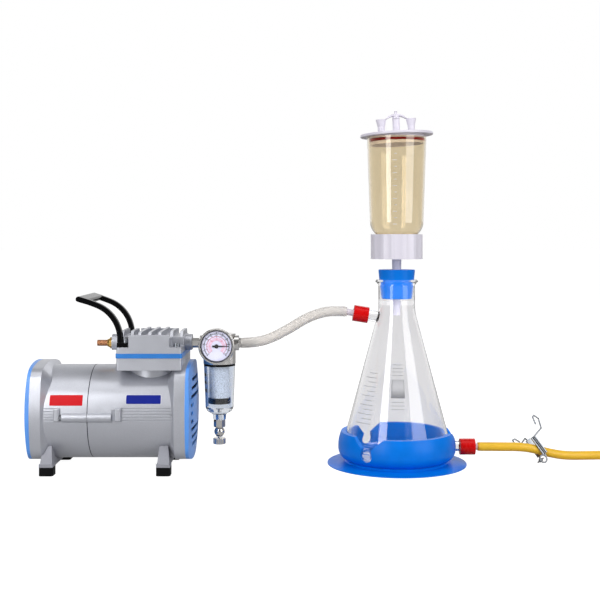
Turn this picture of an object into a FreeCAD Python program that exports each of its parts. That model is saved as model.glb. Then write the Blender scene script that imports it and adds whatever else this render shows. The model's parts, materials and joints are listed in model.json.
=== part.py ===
import FreeCAD, Part

import math
import os

# Vacuum filtration unit: a piston vacuum pump with gauge and moisture trap, a clear
# hose, a side-arm flask in a weighted suction base, a filter funnel in a stopper, and
# a drain hose with a wire pinch clamp.
# Frame: millimetres, origin under the flask's axis on the table, +X towards the drain
# outlet, +Y away from the front, +Z up.

V = FreeCAD.Vector
X_AXIS = V(1, 0, 0)
Y_AXIS = V(0, 1, 0)
Z_AXIS = V(0, 0, 1)

# Clearances
FIT = 0.05                  # shaft in its bearing, radial
GAP = 0.3                   # between faces that nearly touch
SEAT = 0.1                  # between fixed pieces that seat on each other

# Pump body
PUMP_Y = -20.0              # motor axis
LEFT_END_X = -421.5         # outer faces of the two end flanges
SEAM_X = -356.5
RIGHT_END_X = -246.0
BARREL_R = 54.4
BARREL_WALL = 4.5
BARREL_LOW_Z = 12.0
AXIS_Z = BARREL_LOW_Z + BARREL_R
FLANGE_LIFT = 2.6           # the end flanges' centre above the axis
FLANGE_HALF_Y = BARREL_R + 3.6
FLANGE_HALF_Z = BARREL_R + 2.6
FLANGE_RUN = 0.66           # where a flange's bowed side meets its corner, as a share of its half size
FLANGE_BOW = 0.085          # how far the side has curved in there
FLANGE_DIAGONAL = 0.823     # place of the corner's middle
FLANGE_W = 12.5
SLOPE_W = 9.0               # the slope from a flange down to the barrel
SLOPE_DROP = 12.6
WEB_T = 5.0
GROOVE_Z = AXIS_Z + 3.5
GROOVE_PITCH = 3.35
GROOVE_W = 1.2
GROOVE_DEPTH = 0.9
GROOVE_START = FLANGE_W + 2.0    # in from each end face
BOSS_R = 5.2
BOSS_SINK = 1.2             # how far the boss's own axis is inside the barrel's surface
BOSS_LEFT_X = -385.0
BOSS_RIGHT_X = -329.0
LUG_Z = AXIS_Z + 3.5
LUG_H = 15.0
LUG_PROUD = 3.4
LUG_EDGE_R = 1.5
LEFT_LUG = (-394.0, -387.8)
RIGHT_LUG = (-325.2, -318.2)
TIE_BOLT_Y = BARREL_R + 0.6
TIE_BOLT_R = 2.2
TIE_BOLT_LEFT_X = -392.0
TIE_BOLT_RIGHT_X = -337.0
TIE_BOLT_HEAD_X = -387.6
TIE_BOLT_HEAD_T = 2.4
TIE_BOLT_FLATS = 5.5

# End covers
COVER_BULGE = 8.4
COVER_CURVE_R = 480.0
COVER_WALL = 1.8
COVER_LIP = 2.0             # from the cover's outline to its hollow
LOUVRE_PITCH = 9.3
LOUVRE_H = 4.2
LOUVRE_HALF_Y = 46.0
LOUVRE_TAPER = 0.95         # the slots shorten by this times the row number squared
BLANK_HALF_Y = 34.0         # the plain middle that the slots stop at
BLANK_R = 15.0

# Feet
PAD_H = 9.7
PAD_SIZE = 15.6
PLATE_T = 3.6
FOOT_OFFSET_Y = BARREL_R - 9.4
LEG_W = 14.0                # at the foot plate
LEG_TOP_W = 10.0
LEG_LEAN = 8.0
LEG_TOP_Z = 33.0
STRAP_LOW_Z = 7.6
STRAP_GAP = 2.0             # from the strap's low part to the rubber feet
LEFT_FOOT_X = -403.6
RIGHT_FOOT_X = -271.0

# Motor and crank
SHAFT_R = 5.0
SHAFT_LEFT_X = -421.5
SHAFT_RIGHT_X = -251.0
ROTOR_R = 24.0
AIR_GAP = 0.6
STACK_LEFT_X = -397.0
STACK_RIGHT_X = -359.0
COIL_OVERHANG = 5.0
BEARING_R = SHAFT_R + 6.0
BEARING_W = 7.0
FAN_R = 43.0
FAN_W = 7.0
FAN_BLADES = 9
CRANK_THROW = 3.0
CRANK_DISC_R = SHAFT_R + CRANK_THROW + 0.5
CRANK_BEARING_R = CRANK_DISC_R + 5.5
ROD_W = 9.0
ROD_RING_T = 4.5

# Cylinder and head
CYL_X = -287.5
BORE_R = 24.0
SLEEVE_T = 2.5
NECK_R = 34.0
HEAD_HALF_X = 37.0
HEAD_HALF_Y = 50.0
BLOCK_Z = AXIS_Z + BARREL_R - 1.5
BLOCK_H = 13.8
PLATE_H = 5.2
PLATE_EXTRA = 0.8
SHELF_H = 7.0
HEAD_WALL_H = 21.0
HEAD_DECK_H = 17.0
HEAD_MAIN_HALF_X = 23.0
RECESS_Y = 24.0
FIN_PITCH = 11.4
FIN_T = 3.4
FIN_TOP_H = 23.6
HEAD_CORNER_R = 2.5
PISTON_T = 6.0
HEAD_BOLT_R = 2.2
HEAD_BOLT_LEFT_DX = -27.0
HEAD_BOLT_RIGHT_DX = 31.0
HEAD_BOLT_CAP_R = 3.7
HEAD_BOLT_Y = 43.0
HEAD_BOLT_LOW = 7.5         # bolt's tip above the block's underside
PORT_Z = BLOCK_Z + 26.7
PORT_BOSS_R = 10.0
LEFT_BOSS_L = 12.5
RIGHT_BOSS_L = 7.5

# Handle
HANDLE_ARM_Y = 41.5         # from the pump's axis to each arm
HANDLE_W = 9.0
HANDLE_T = 6.2
HANDLE_EDGE_R = 1.8
HANDLE_BASE_X = -321.0
HANDLE_RISE = 8.3           # from the foot's underside to the first bend
HANDLE_R1 = 42.3
HANDLE_TURN1 = 68.0
HANDLE_R2 = 200.0
HANDLE_TURN2 = 5.0
HANDLE_GRIP_W = 15.0

# Gauge and moisture trap
TRAP_X = -211.0
TRAP_R = 19.0
TRAP_BOTTOM_Z = PORT_Z - 24.0
TRAP_TOP_Z = PORT_Z + 11.0
GAUGE_X = -212.0
GAUGE_Z = PORT_Z - 1.0
GAUGE_R = 20.8
GAUGE_FRONT_Y = -56.0
GAUGE_DEPTH = 15.0
GAUGE_WALL = 2.2
BOWL_TOP_R = 18.5
BOWL_LOW_R = 16.5
BOWL_WALL = 2.0
BOWL_TOP_Z = TRAP_BOTTOM_Z - 2.6
BOWL_LOW_Z = BOWL_TOP_Z - 49.4
BOWL_NECK_Z = BOWL_LOW_Z - 8.0
BOWL_NECK_R = 8.0
BOWL_END_Z = BOWL_NECK_Z - 6.0
ELEMENT_R = 12.0
ELEMENT_TOP_Z = TRAP_BOTTOM_Z - 0.5
ELEMENT_LOW_Z = ELEMENT_TOP_Z - 39.5
BAFFLE_H = 7.0
DRAIN_BODY_Z = BOWL_END_Z - 9.0
KNOB_TOP_Z = DRAIN_BODY_Z - 13.0
KNOB_LOW_Z = KNOB_TOP_Z - 7.0

# Hoses
VAC_HOSE_D = 12.0
DRAIN_HOSE_D = 10.5
BARB_END_X = -167.0
HOSE_START_X = -186.0

# Flask
FLASK_BOTTOM_Z = 5.0
FLASK_HEEL_R = 9.0
FLASK_MAX_R = 65.5
FLASK_MAX_Z = 20.0
FLASK_SHOULDER_Z = 172.0
FLASK_SHOULDER_R = 24.6
FLASK_NECK_Z = 190.0
FLASK_NECK_R = 21.8
FLASK_TOP_Z = 220.0
FLASK_RIM_R = 26.0
FLASK_WALL = 2.6
ARM_R = 6.6
ARM_BORE_R = 3.8
SIDE_ARM_X = -43.0          # middle of the upper screw cap
SIDE_ARM_Z = 178.6
SIDE_ARM_SLOPE = 9.0
OUTLET_Z = 19.6
OUTLET_CAP_X = FLASK_MAX_R + 19.0    # middle of the lower screw cap
CAP_R = 9.6
CAP_L = 18.0
CAP_TOP_T = 2.0
CONNECTOR_TAIL_R = 3.9
CONNECTOR_OUT = 16.0

# Suction base
BASE_MAX_R = FLASK_MAX_R + 4.5
BASE_FLANGE_R = BASE_MAX_R + 13.0
BASE_FLANGE_T = 2.0
BASE_GROOVE_R = BASE_MAX_R - 10.0
BASE_MAX_Z = 17.5
BASE_TOP_R = BASE_MAX_R - 3.4
BASE_TOP_Z = 38.5
BASE_FLOOR_Z = 4.6
SLOT_R = 7.6
SLOT_MOUTH_W = 44.0
SLOT_MOUTH_LOW_Z = 27.0
SLOT_ANGLES = (0, 120, 234.5)   # the front slot stands a little nearer the pump side

# Stopper and funnel
STOPPER_TOP_Z = 232.0
STOPPER_LOW_Z = 197.0
STOPPER_TOP_R = 22.0
STOPPER_LOW_R = 18.4
STEM_LOW_Z = 177.0
STEM_LOW_R = 4.3
STEM_TOP_R = 5.7
STEM_BORE_R = 2.8
COLLAR_LOW_Z = 244.6
COLLAR_TOP_Z = 274.2
COLLAR_R = 31.0
COLLAR_WALL = 3.0
COLLAR_LIP_H = 3.5
COLLAR_FACETS = 14
COLLAR_FLUTE_DEPTH = 0.8
FUNNEL_PLATE_H = 8.0
SCREEN_H = 1.6
GASKET_H = 1.6
CUP_FOOT_H = 4.0
CUP_WAIST_R = 25.0
CUP_WAIST_Z = 274.5
CUP_SHOULDER_R = 32.0
CUP_SHOULDER_Z = 289.0
CUP_TOP_R = 35.5
CUP_TOP_Z = 390.0
CUP_WALL = 2.0
LID_TILT = 2.5
LID_R = 43.5
LID_T = 3.2
LID_PLUG_H = 10.0
LID_PLUG_GAP = 0.65
LID_PORT_X = 18.0
LID_PORT_R = 4.3
LID_PORT_H = 17.5
LID_PORT_FLARE = 2.0

# Wire pinch clamp on the drain hose
CLAMP_BAR_L = 24.0
CLAMP_BAR_W = 6.6
CLAMP_BAR_T = 2.0
CLAMP_LIFT = 5.5            # bars' middle above the hose's middle
CLAMP_WIRE_R = 0.9
CLAMP_LEAN = -30.0          # turn about the hose, which brings the loop forward
CLAMP_SLANT = -46.0         # turn of the bars across the hose
CLAMP_LOOP_R = 4.6
CLAMP_LOOP_SIDES = 10
CLAMP_PLACE = 0.58          # along the hose's sloping stretch

# Free hoses: chosen points of each route
VAC_HOSE_POINTS = [
    V(-186, -20, 146), V(-170, -20, 146.2), V(-152, -19, 150.5), V(-130, -13, 161.3),
    V(-109, -7, 174), V(-92, -3, 180.2), V(-76, -0.7, 182.6), V(-60, 0, 181.6),
]
DRAIN_HOSE_POINTS = [
    V(97, 0, 19.6), V(124, 0.5, 19.3), V(156, 3, 18.6), V(184, 8, 10.5), V(206, 13, 6.0),
    V(236, 18, 5.4), V(270, 21, 5.4), V(302, 19, 5.4), V(330, 12, 5.4), V(354, 1, 5.4),
    V(372, -14, 5.4),
]

os.makedirs("parts", exist_ok=True)


# ---------------------------------------------------------------- helpers

def export(name, shape):
    """Write one named piece."""
    shape.exportStep("parts/" + name + ".step")


def box(x0, x1, y0, y1, z0, z1):
    return Part.makeBox(x1 - x0, y1 - y0, z1 - z0, V(x0, y0, z0))


def rod(start, direction, radius, length):
    return Part.makeCylinder(radius, length, start, direction)


def ring(start, direction, outer_r, inner_r, length):
    return rod(start, direction, outer_r, length).cut(rod(start, direction, inner_r, length))


def cone(start, direction, r0, r1, length):
    if abs(r0 - r1) < 1e-6:
        return rod(start, direction, r0, length)
    return Part.makeCone(r0, r1, length, start, direction)


def hex_prism(start, direction, across_flats, length):
    """A hexagon nut body round an axis."""
    corner_r = across_flats / math.sqrt(3)
    corners = [V(corner_r * math.cos(math.radians(60 * i)), corner_r * math.sin(math.radians(60 * i)), 0)
               for i in range(7)]
    prism = Part.Face(Part.makePolygon(corners)).extrude(V(0, 0, length))
    prism.Placement = FreeCAD.Placement(start, FreeCAD.Rotation(Z_AXIS, direction))
    return prism


def turned(points):
    """A solid of revolution about Z from (radius, height) corners."""
    corners = [V(r, 0, z) for r, z in points]
    face = Part.Face(Part.makePolygon(corners + [corners[0]]))
    return face.revolve(V(0, 0, 0), Z_AXIS, 360)


def pump_point(x, y=0.0, z=0.0):
    """A point given from the pump's axis."""
    return V(x, PUMP_Y + y, AXIS_Z + z)


def tube_along(points, radius, name):
    """A round bar along straight runs joined by tangent arcs as large as the runs allow."""
    edges = []
    start = points[0]
    for before, corner, after in zip(points, points[1:], points[2:]):
        run_in = corner - before
        run_out = after - corner
        half_turn = run_in.getAngle(run_out) / 2
        tangent = 0.45 * min(run_in.Length, run_out.Length)
        arc_r = tangent / math.tan(half_turn)
        enter = corner - V(run_in).normalize() * tangent
        leave = corner + V(run_out).normalize() * tangent
        inward = (V(run_out).normalize() - V(run_in).normalize()).normalize()
        middle = corner + inward * (arc_r / math.cos(half_turn) - arc_r)
        edges.append(Part.LineSegment(start, enter).toShape())
        edges.append(Part.Arc(enter, middle, leave).toShape())
        start = leave
        print(name, "bend radius", round(arc_r, 1))
    edges.append(Part.LineSegment(start, points[-1]).toShape())
    path = Part.Wire(edges)
    along = (points[1] - points[0]).normalize()
    section = Part.Wire([Part.Circle(points[0], along, radius).toShape()])
    bar = path.makePipeShell([section], True, False)
    print(name, "length", round(path.Length, 1), "volume over section times length",
          round(bar.Volume / (math.pi * radius ** 2 * path.Length), 4))
    return bar


# ---------------------------------------------------------------- pump body

def flange_outline(x, grow=0.0):
    """A bowed square with round corners about the flanges' centre, eight arcs in all."""
    def place(a, b):
        return V(x, PUMP_Y + a * (FLANGE_HALF_Y + grow), AXIS_Z + FLANGE_LIFT + b * (FLANGE_HALF_Z + grow))
    near = 1 - FLANGE_BOW
    side = [(near, -FLANGE_RUN), (1, 0), (near, FLANGE_RUN)]
    corner = [(near, FLANGE_RUN), (FLANGE_DIAGONAL, FLANGE_DIAGONAL), (FLANGE_RUN, near)]
    edges = []
    for _ in range(4):
        for arc in (side, corner):
            edges.append(Part.Arc(*[place(a, b) for a, b in arc]).toShape())
        side = [(-b, a) for a, b in side]
        corner = [(-b, a) for a, b in corner]
    return Part.Wire(edges)


def flange_prism(x0, x1, grow=0.0):
    return Part.Face(flange_outline(x0, grow)).extrude(V(x1 - x0, 0, 0))


def end_flange(outer_x, inward, grow=0.0):
    """A bowed square flange that slopes down to the barrel on its inner side, 1 or -1 in X."""
    inner_x = outer_x + inward * (FLANGE_W + grow)
    slope_end_x = inner_x + inward * SLOPE_W
    rim = flange_prism(min(outer_x, inner_x), max(outer_x, inner_x), grow)
    slope = Part.makeLoft([flange_outline(inner_x, grow), flange_outline(slope_end_x, grow - SLOPE_DROP)],
                          True, True)
    return rim.fuse(slope)


def side_boss(x0, x1, side):
    """Half-round boss on the barrel's side that the tie bolt runs through."""
    return rod(pump_point(x0, side * (BARREL_R - BOSS_SINK)), X_AXIS, BOSS_R, x1 - x0)


def tie_bolt_hole(side):
    start = pump_point(TIE_BOLT_LEFT_X - 1, side * TIE_BOLT_Y)
    return rod(start, X_AXIS, TIE_BOLT_R + SEAT, TIE_BOLT_RIGHT_X - TIE_BOLT_LEFT_X + 1)


def side_lug(span, side):
    """Raised pad with soft edges at the end of a boss."""
    y_in = side * (BARREL_R - 4)
    y_out = side * (BARREL_R + LUG_PROUD)
    pad = box(span[0], span[1], PUMP_Y + min(y_in, y_out), PUMP_Y + max(y_in, y_out),
              LUG_Z - LUG_H / 2, LUG_Z + LUG_H / 2)
    outer = [e for e in pad.Edges if abs(e.CenterOfMass.y - PUMP_Y - y_out) < 0.01]
    return pad.makeFillet(LUG_EDGE_R, outer)


def lug_slope(side):
    """Slope from the right end of a boss up to its lug."""
    y_in = PUMP_Y + side * (BARREL_R - 4)
    corners = [V(BOSS_RIGHT_X, y_in, 0), V(BOSS_RIGHT_X, PUMP_Y + side * BARREL_R, 0),
               V(RIGHT_LUG[0] + 1, PUMP_Y + side * (BARREL_R + LUG_PROUD - 0.6), 0),
               V(RIGHT_LUG[0] + 1, y_in, 0)]
    slope = Part.Face(Part.makePolygon(corners + [corners[0]])).extrude(V(0, 0, LUG_H - 4))
    slope.translate(V(0, 0, LUG_Z - LUG_H / 2 + 2))
    return slope


def bolt_head_pocket(side):
    """Room for the tie bolt's head between the left lug and the boss."""
    start = pump_point(LEFT_LUG[1], side * TIE_BOLT_Y)
    return rod(start, X_AXIS, TIE_BOLT_FLATS / math.sqrt(3) + GAP, BOSS_LEFT_X - LEFT_LUG[1])


def groove_cutters(x0, x1):
    cutters = []
    for i in range(-2, 3):
        z = GROOVE_Z + i * GROOVE_PITCH
        depth = math.sqrt(BARREL_R ** 2 - (z - AXIS_Z) ** 2) - GROOVE_DEPTH
        for side in (-1, 1):
            y0 = PUMP_Y + side * depth
            y1 = PUMP_Y + side * (BARREL_R + 5)
            cutters.append(box(x0, x1, min(y0, y1), max(y0, y1), z - GROOVE_W / 2, z + GROOVE_W / 2))
    return cutters


def bearing_web(x0, hub_x0, hub_l):
    """A disc across the barrel that holds one bearing, with holes for cooling air."""
    disc = rod(pump_point(x0), X_AXIS, BARREL_R - BARREL_WALL + 0.5, WEB_T)
    hub = rod(pump_point(hub_x0), X_AXIS, BEARING_R + 4, hub_l)
    web = disc.fuse(hub).cut(rod(pump_point(hub_x0 - 1), X_AXIS, BEARING_R + SEAT, hub_l + 2))
    for i in range(6):
        angle = math.radians(60 * i + 30)
        web = web.cut(rod(pump_point(x0 - 1, 31 * math.cos(angle), 31 * math.sin(angle)), X_AXIS, 9, WEB_T + 2))
    return web


LEFT_BEARING_X = LEFT_END_X + FLANGE_W - 6
RIGHT_BEARING_X = SEAM_X + 6
SWITCH_X = -384.0
SWITCH_Z = AXIS_Z + 21
SWITCH_Y = BARREL_R + 9      # rear face of the switch pad, from the pump's axis
GLAND_X = -384.0
GLAND_Z = AXIS_Z - 16


def motor_housing():
    barrel = rod(pump_point(LEFT_END_X), X_AXIS, BARREL_R, SEAM_X - 0.2 - LEFT_END_X)
    body = barrel.fuse(end_flange(LEFT_END_X, 1))
    for side in (-1, 1):
        body = body.fuse(side_boss(BOSS_LEFT_X, SEAM_X - 0.2, side))
        body = body.fuse(side_lug(LEFT_LUG, side))
    pad = box(SWITCH_X - 17, SWITCH_X + 17, PUMP_Y + 30, PUMP_Y + SWITCH_Y, AXIS_Z - 27, AXIS_Z + 36)
    body = body.fuse(pad)
    body = body.cut(rod(pump_point(LEFT_END_X - 1), X_AXIS, BARREL_R - BARREL_WALL, SEAM_X - LEFT_END_X + 2))
    body = body.fuse(bearing_web(LEFT_BEARING_X + 1, LEFT_BEARING_X, BEARING_W + 1))
    for cutter in groove_cutters(LEFT_END_X + GROOVE_START, LEFT_LUG[0]):
        body = body.cut(cutter)
    for side in (-1, 1):
        body = body.cut(tie_bolt_hole(side)).cut(bolt_head_pocket(side))
    recess = box(SWITCH_X - 7, SWITCH_X + 7, PUMP_Y + SWITCH_Y - 9, PUMP_Y + SWITCH_Y + 1,
                 SWITCH_Z - 11, SWITCH_Z + 11)
    gland_hole = rod(pump_point(GLAND_X, SWITCH_Y - 8, GLAND_Z - AXIS_Z), Y_AXIS, 5 + SEAT, 9)
    return body.cut(recess).cut(gland_hole)


def crankcase_housing():
    barrel = rod(pump_point(SEAM_X + 0.2), X_AXIS, BARREL_R, RIGHT_END_X - SEAM_X - 0.2)
    body = barrel.fuse(end_flange(RIGHT_END_X, -1))
    for side in (-1, 1):
        body = body.fuse(side_boss(SEAM_X + 0.2, BOSS_RIGHT_X, side))
        body = body.fuse(side_lug(RIGHT_LUG, side)).fuse(lug_slope(side))
    body = body.cut(rod(pump_point(SEAM_X), X_AXIS, BARREL_R - BARREL_WALL, RIGHT_END_X - SEAM_X + 2))
    body = body.fuse(bearing_web(RIGHT_BEARING_X + 1, RIGHT_BEARING_X, BEARING_W + 1))
    for cutter in groove_cutters(RIGHT_LUG[1], RIGHT_END_X - GROOVE_START):
        body = body.cut(cutter)
    for side in (-1, 1):
        body = body.cut(tie_bolt_hole(side))
    return body.cut(rod(V(CYL_X, PUMP_Y, AXIS_Z), Z_AXIS, BORE_R + SLEEVE_T + SEAT, 80))


def louvre_blank(x):
    """The plain middle of a cover, a bar with round ends."""
    z = AXIS_Z + FLANGE_LIFT
    straight = BLANK_HALF_Y - BLANK_R
    blank = box(x - 20, x + 20, PUMP_Y - straight, PUMP_Y + straight, z - BLANK_R, z + BLANK_R)
    for side in (-1, 1):
        blank = blank.fuse(rod(V(x - 20, PUMP_Y + side * straight, z), X_AXIS, BLANK_R, 40))
    return blank


def fan_cover():
    """The right end's domed cover with its cooling louvres."""
    def dome(bulge, grow):
        top_x = RIGHT_END_X + bulge
        centre = V(top_x - COVER_CURVE_R, PUMP_Y, AXIS_Z + FLANGE_LIFT)
        return flange_prism(RIGHT_END_X, top_x, grow).common(Part.makeSphere(COVER_CURVE_R, centre))
    cover = dome(COVER_BULGE, 0).cut(dome(COVER_BULGE - COVER_WALL, -COVER_LIP))
    blank = louvre_blank(RIGHT_END_X)
    for i in range(-4, 5):
        z = AXIS_Z + FLANGE_LIFT + i * LOUVRE_PITCH
        reach = LOUVRE_HALF_Y - LOUVRE_TAPER * i * i
        slot = box(RIGHT_END_X - 20, RIGHT_END_X + 20, PUMP_Y - reach, PUMP_Y + reach,
                   z - LOUVRE_H / 2, z + LOUVRE_H / 2)
        cover = cover.cut(slot.cut(blank))
    return cover


def level_rectangle(x, half_x, y0, y1, z):
    corners = [V(x - half_x, y0, z), V(x + half_x, y0, z), V(x + half_x, y1, z), V(x - half_x, y1, z)]
    return Part.makePolygon(corners + [corners[0]])


def foot_bracket(x):
    """Cast foot: a plate and a leaning leg each side, joined by a strap under the barrel."""
    plate_top = PAD_H + PLATE_T
    y_in = FOOT_OFFSET_Y - PAD_SIZE / 2
    y_out = FOOT_OFFSET_Y + PAD_SIZE / 2
    half_strap = LEG_TOP_W / 2
    low_reach = y_in - STRAP_GAP
    high_reach = y_in + 2
    bracket = box(x - half_strap, x + half_strap, PUMP_Y - low_reach, PUMP_Y + low_reach,
                  STRAP_LOW_Z, PAD_H + 1)
    bracket = bracket.fuse(box(x - half_strap, x + half_strap, PUMP_Y - high_reach, PUMP_Y + high_reach,
                               PAD_H, LEG_TOP_Z - 6))
    for side in (-1, 1):
        inner = PUMP_Y + side * y_in
        outer = PUMP_Y + side * y_out
        plate = box(x - PAD_SIZE / 2, x + PAD_SIZE / 2, min(inner, outer), max(inner, outer), PAD_H, plate_top)
        low = level_rectangle(x, LEG_W / 2, inner + side, outer - side, plate_top - 1)
        high = level_rectangle(x, LEG_TOP_W / 2, inner + side * (1 - LEG_LEAN), outer - side * (1 + LEG_LEAN),
                               LEG_TOP_Z)
        bracket = bracket.fuse(plate).fuse(Part.makeLoft([low, high], True, True))
    bracket = bracket.cut(rod(V(x - 30, PUMP_Y, AXIS_Z), X_AXIS, BARREL_R + SEAT, 60))
    return bracket.cut(end_flange(LEFT_END_X, 1, SEAT)).cut(end_flange(RIGHT_END_X, -1, SEAT))


def rubber_feet():
    feet = []
    for x in (LEFT_FOOT_X, RIGHT_FOOT_X):
        for side in (-1, 1):
            half = PAD_SIZE / 2 + 0.35
            y = PUMP_Y + side * FOOT_OFFSET_Y
            foot = box(x - half, x + half, y - half, y + half, 0, PAD_H)
            upright = [e for e in foot.Edges if abs(e.tangentAt(e.FirstParameter).z) > 0.99]
            feet.append(foot.makeFillet(3.0, upright))
    return Part.makeCompound(feet)


def tie_bolts():
    bolts = []
    for side in (-1, 1):
        shank = rod(pump_point(TIE_BOLT_LEFT_X, side * TIE_BOLT_Y), X_AXIS, TIE_BOLT_R,
                    TIE_BOLT_RIGHT_X - TIE_BOLT_LEFT_X)
        head = hex_prism(pump_point(TIE_BOLT_HEAD_X, side * TIE_BOLT_Y), X_AXIS,
                         TIE_BOLT_FLATS, TIE_BOLT_HEAD_T)
        bolts.append(shank.fuse(head))
    return Part.makeCompound(bolts)


def power_switch():
    """Tilting paddle in the recess of the pad behind the motor."""
    half_z = 10.0
    y0 = PUMP_Y + SWITCH_Y - 3
    corners = [V(0, y0 - 2, -half_z + 1.6), V(0, y0 + 2, -half_z + 0.6), V(0, y0 + 5.2, -half_z + 0.9),
               V(0, y0 + 4.2, 0), V(0, y0 + 5.2, half_z - 0.9), V(0, y0 + 2, half_z - 0.6),
               V(0, y0 - 2, half_z - 1.6)]
    paddle = Part.Face(Part.makePolygon(corners + [corners[0]])).extrude(V(13, 0, 0))
    paddle.translate(V(SWITCH_X - 6.5, 0, SWITCH_Z))
    return paddle


def cable_gland():
    start = pump_point(GLAND_X, SWITCH_Y, GLAND_Z - AXIS_Z)
    gland = hex_prism(start, Y_AXIS, 15, 4)
    gland = gland.fuse(rod(start - V(0, 7, 0), Y_AXIS, 5, 8))
    gland = gland.fuse(cone(start + V(0, 4, 0), Y_AXIS, 6.5, 5, 7))
    return gland.cut(rod(start - V(0, 10, 0), Y_AXIS, 3.2, 30))


# ---------------------------------------------------------------- motor and crank

def stator():
    core_r = BARREL_R - BARREL_WALL - SEAT
    inner_r = ROTOR_R + AIR_GAP
    stack = ring(pump_point(STACK_LEFT_X), X_AXIS, core_r, inner_r, STACK_RIGHT_X - STACK_LEFT_X)
    coils = ring(pump_point(STACK_LEFT_X - COIL_OVERHANG), X_AXIS, core_r - 6, inner_r + 3,
                 STACK_RIGHT_X - STACK_LEFT_X + 2 * COIL_OVERHANG)
    return stack.fuse(coils)


def rotor():
    shaft = rod(pump_point(SHAFT_LEFT_X), X_AXIS, SHAFT_R, SHAFT_RIGHT_X - SHAFT_LEFT_X)
    stack = rod(pump_point(STACK_LEFT_X), X_AXIS, ROTOR_R, STACK_RIGHT_X - STACK_LEFT_X)
    end_rings = ring(pump_point(STACK_LEFT_X - 3), X_AXIS, ROTOR_R - 2, SHAFT_R - 1,
                     STACK_RIGHT_X - STACK_LEFT_X + 6)
    return shaft.fuse(stack).fuse(end_rings)


def motor_bearings():
    bearings = [ring(pump_point(x), X_AXIS, BEARING_R, SHAFT_R + FIT, BEARING_W)
                for x in (LEFT_BEARING_X + 0.5, RIGHT_BEARING_X + 0.5)]
    return Part.makeCompound(bearings)


def fan(x):
    """Cooling fan: a hub, a back disc and straight radial blades."""
    hub = rod(pump_point(x), X_AXIS, SHAFT_R + 4, FAN_W)
    wheel = hub.fuse(rod(pump_point(x), X_AXIS, FAN_R - 12, 1.2))
    for i in range(FAN_BLADES):
        blade = box(x, x + FAN_W, -0.8, 0.8, SHAFT_R + 2, FAN_R)
        blade.rotate(V(0, 0, 0), X_AXIS, 360.0 * i / FAN_BLADES)
        blade.translate(V(0, PUMP_Y, AXIS_Z))
        wheel = wheel.fuse(blade)
    return wheel.cut(rod(pump_point(x - 1), X_AXIS, SHAFT_R + SEAT, FAN_W + 2))


ROD_LEFT_X = CYL_X - ROD_W / 2
PIN_Z = CRANK_THROW


def eccentric():
    """Crank disc with its counterweight, keyed on the shaft."""
    disc = rod(pump_point(ROD_LEFT_X - 4, 0, PIN_Z), X_AXIS, CRANK_DISC_R, ROD_W + 4)
    weight = rod(pump_point(ROD_LEFT_X - 10), X_AXIS, 20, 6)
    weight = weight.cut(box(ROD_LEFT_X - 11, ROD_LEFT_X, PUMP_Y - 30, PUMP_Y + 30, AXIS_Z + 9, AXIS_Z + 40))
    return disc.fuse(weight).cut(rod(pump_point(ROD_LEFT_X - 20), X_AXIS, SHAFT_R + SEAT, 60))


def crank_bearing():
    return ring(pump_point(ROD_LEFT_X + 0.5, 0, PIN_Z), X_AXIS, CRANK_BEARING_R, CRANK_DISC_R + FIT, ROD_W - 1)


PLATE_Z = BLOCK_Z + BLOCK_H
PISTON_TOP_Z = PLATE_Z - 0.8
PISTON_R = BORE_R - CRANK_THROW - 0.5


def connecting_rod():
    """Rod and piston in one casting, as in a wobble-piston pump."""
    ring_r = CRANK_BEARING_R + ROD_RING_T
    big_end = rod(pump_point(ROD_LEFT_X, 0, PIN_Z), X_AXIS, ring_r, ROD_W)
    shank = box(CYL_X - ROD_W / 2, CYL_X + ROD_W / 2, PUMP_Y - 5.5, PUMP_Y + 5.5,
                AXIS_Z + PIN_Z + CRANK_BEARING_R + 1, PISTON_TOP_Z - PISTON_T)
    piston = rod(V(CYL_X, PUMP_Y, PISTON_TOP_Z - PISTON_T), Z_AXIS, PISTON_R, PISTON_T)
    casting = big_end.fuse(shank).fuse(piston)
    return casting.cut(rod(pump_point(ROD_LEFT_X - 1, 0, PIN_Z), X_AXIS, CRANK_BEARING_R + SEAT, ROD_W + 2))


def piston_seal():
    """Flexible cup ring that fills the gap between the piston and the sleeve."""
    start = V(CYL_X, PUMP_Y, PISTON_TOP_Z - PISTON_T + 1.5)
    return ring(start, Z_AXIS, BORE_R - 0.1, PISTON_R + SEAT, 3.0)


# ---------------------------------------------------------------- cylinder and head

def head_slab(half_x, half_y, z0, z1):
    """A block centred on the cylinder with round upright corners."""
    block = box(CYL_X - half_x, CYL_X + half_x, PUMP_Y - half_y, PUMP_Y + half_y, z0, z1)
    upright = [e for e in block.Edges if abs(e.tangentAt(e.FirstParameter).z) > 0.99]
    return block.makeFillet(HEAD_CORNER_R, upright)


def cylinder_block():
    top = head_slab(HEAD_HALF_X, HEAD_HALF_Y, BLOCK_Z, BLOCK_Z + BLOCK_H)
    neck = rod(V(CYL_X, PUMP_Y, AXIS_Z + 20), Z_AXIS, NECK_R, BLOCK_Z - AXIS_Z - 20)
    barrel_clear = rod(V(CYL_X - 60, PUMP_Y, AXIS_Z), X_AXIS, BARREL_R + SEAT, 120)
    block = top.fuse(neck).cut(end_flange(RIGHT_END_X, -1, GAP)).cut(barrel_clear)
    block = block.cut(rod(V(CYL_X, PUMP_Y, AXIS_Z), Z_AXIS, BORE_R + SLEEVE_T + SEAT, 80))
    return drill_head_bolts(block)


def head_bolt_places():
    return [(CYL_X + dx, PUMP_Y + side * HEAD_BOLT_Y)
            for dx in (HEAD_BOLT_LEFT_DX, HEAD_BOLT_RIGHT_DX) for side in (-1, 1)]


def drill_head_bolts(solid):
    for x, y in head_bolt_places():
        solid = solid.cut(rod(V(x, y, BLOCK_Z + HEAD_BOLT_LOW - 1), Z_AXIS, HEAD_BOLT_R + SEAT, 60))
    return solid


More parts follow.
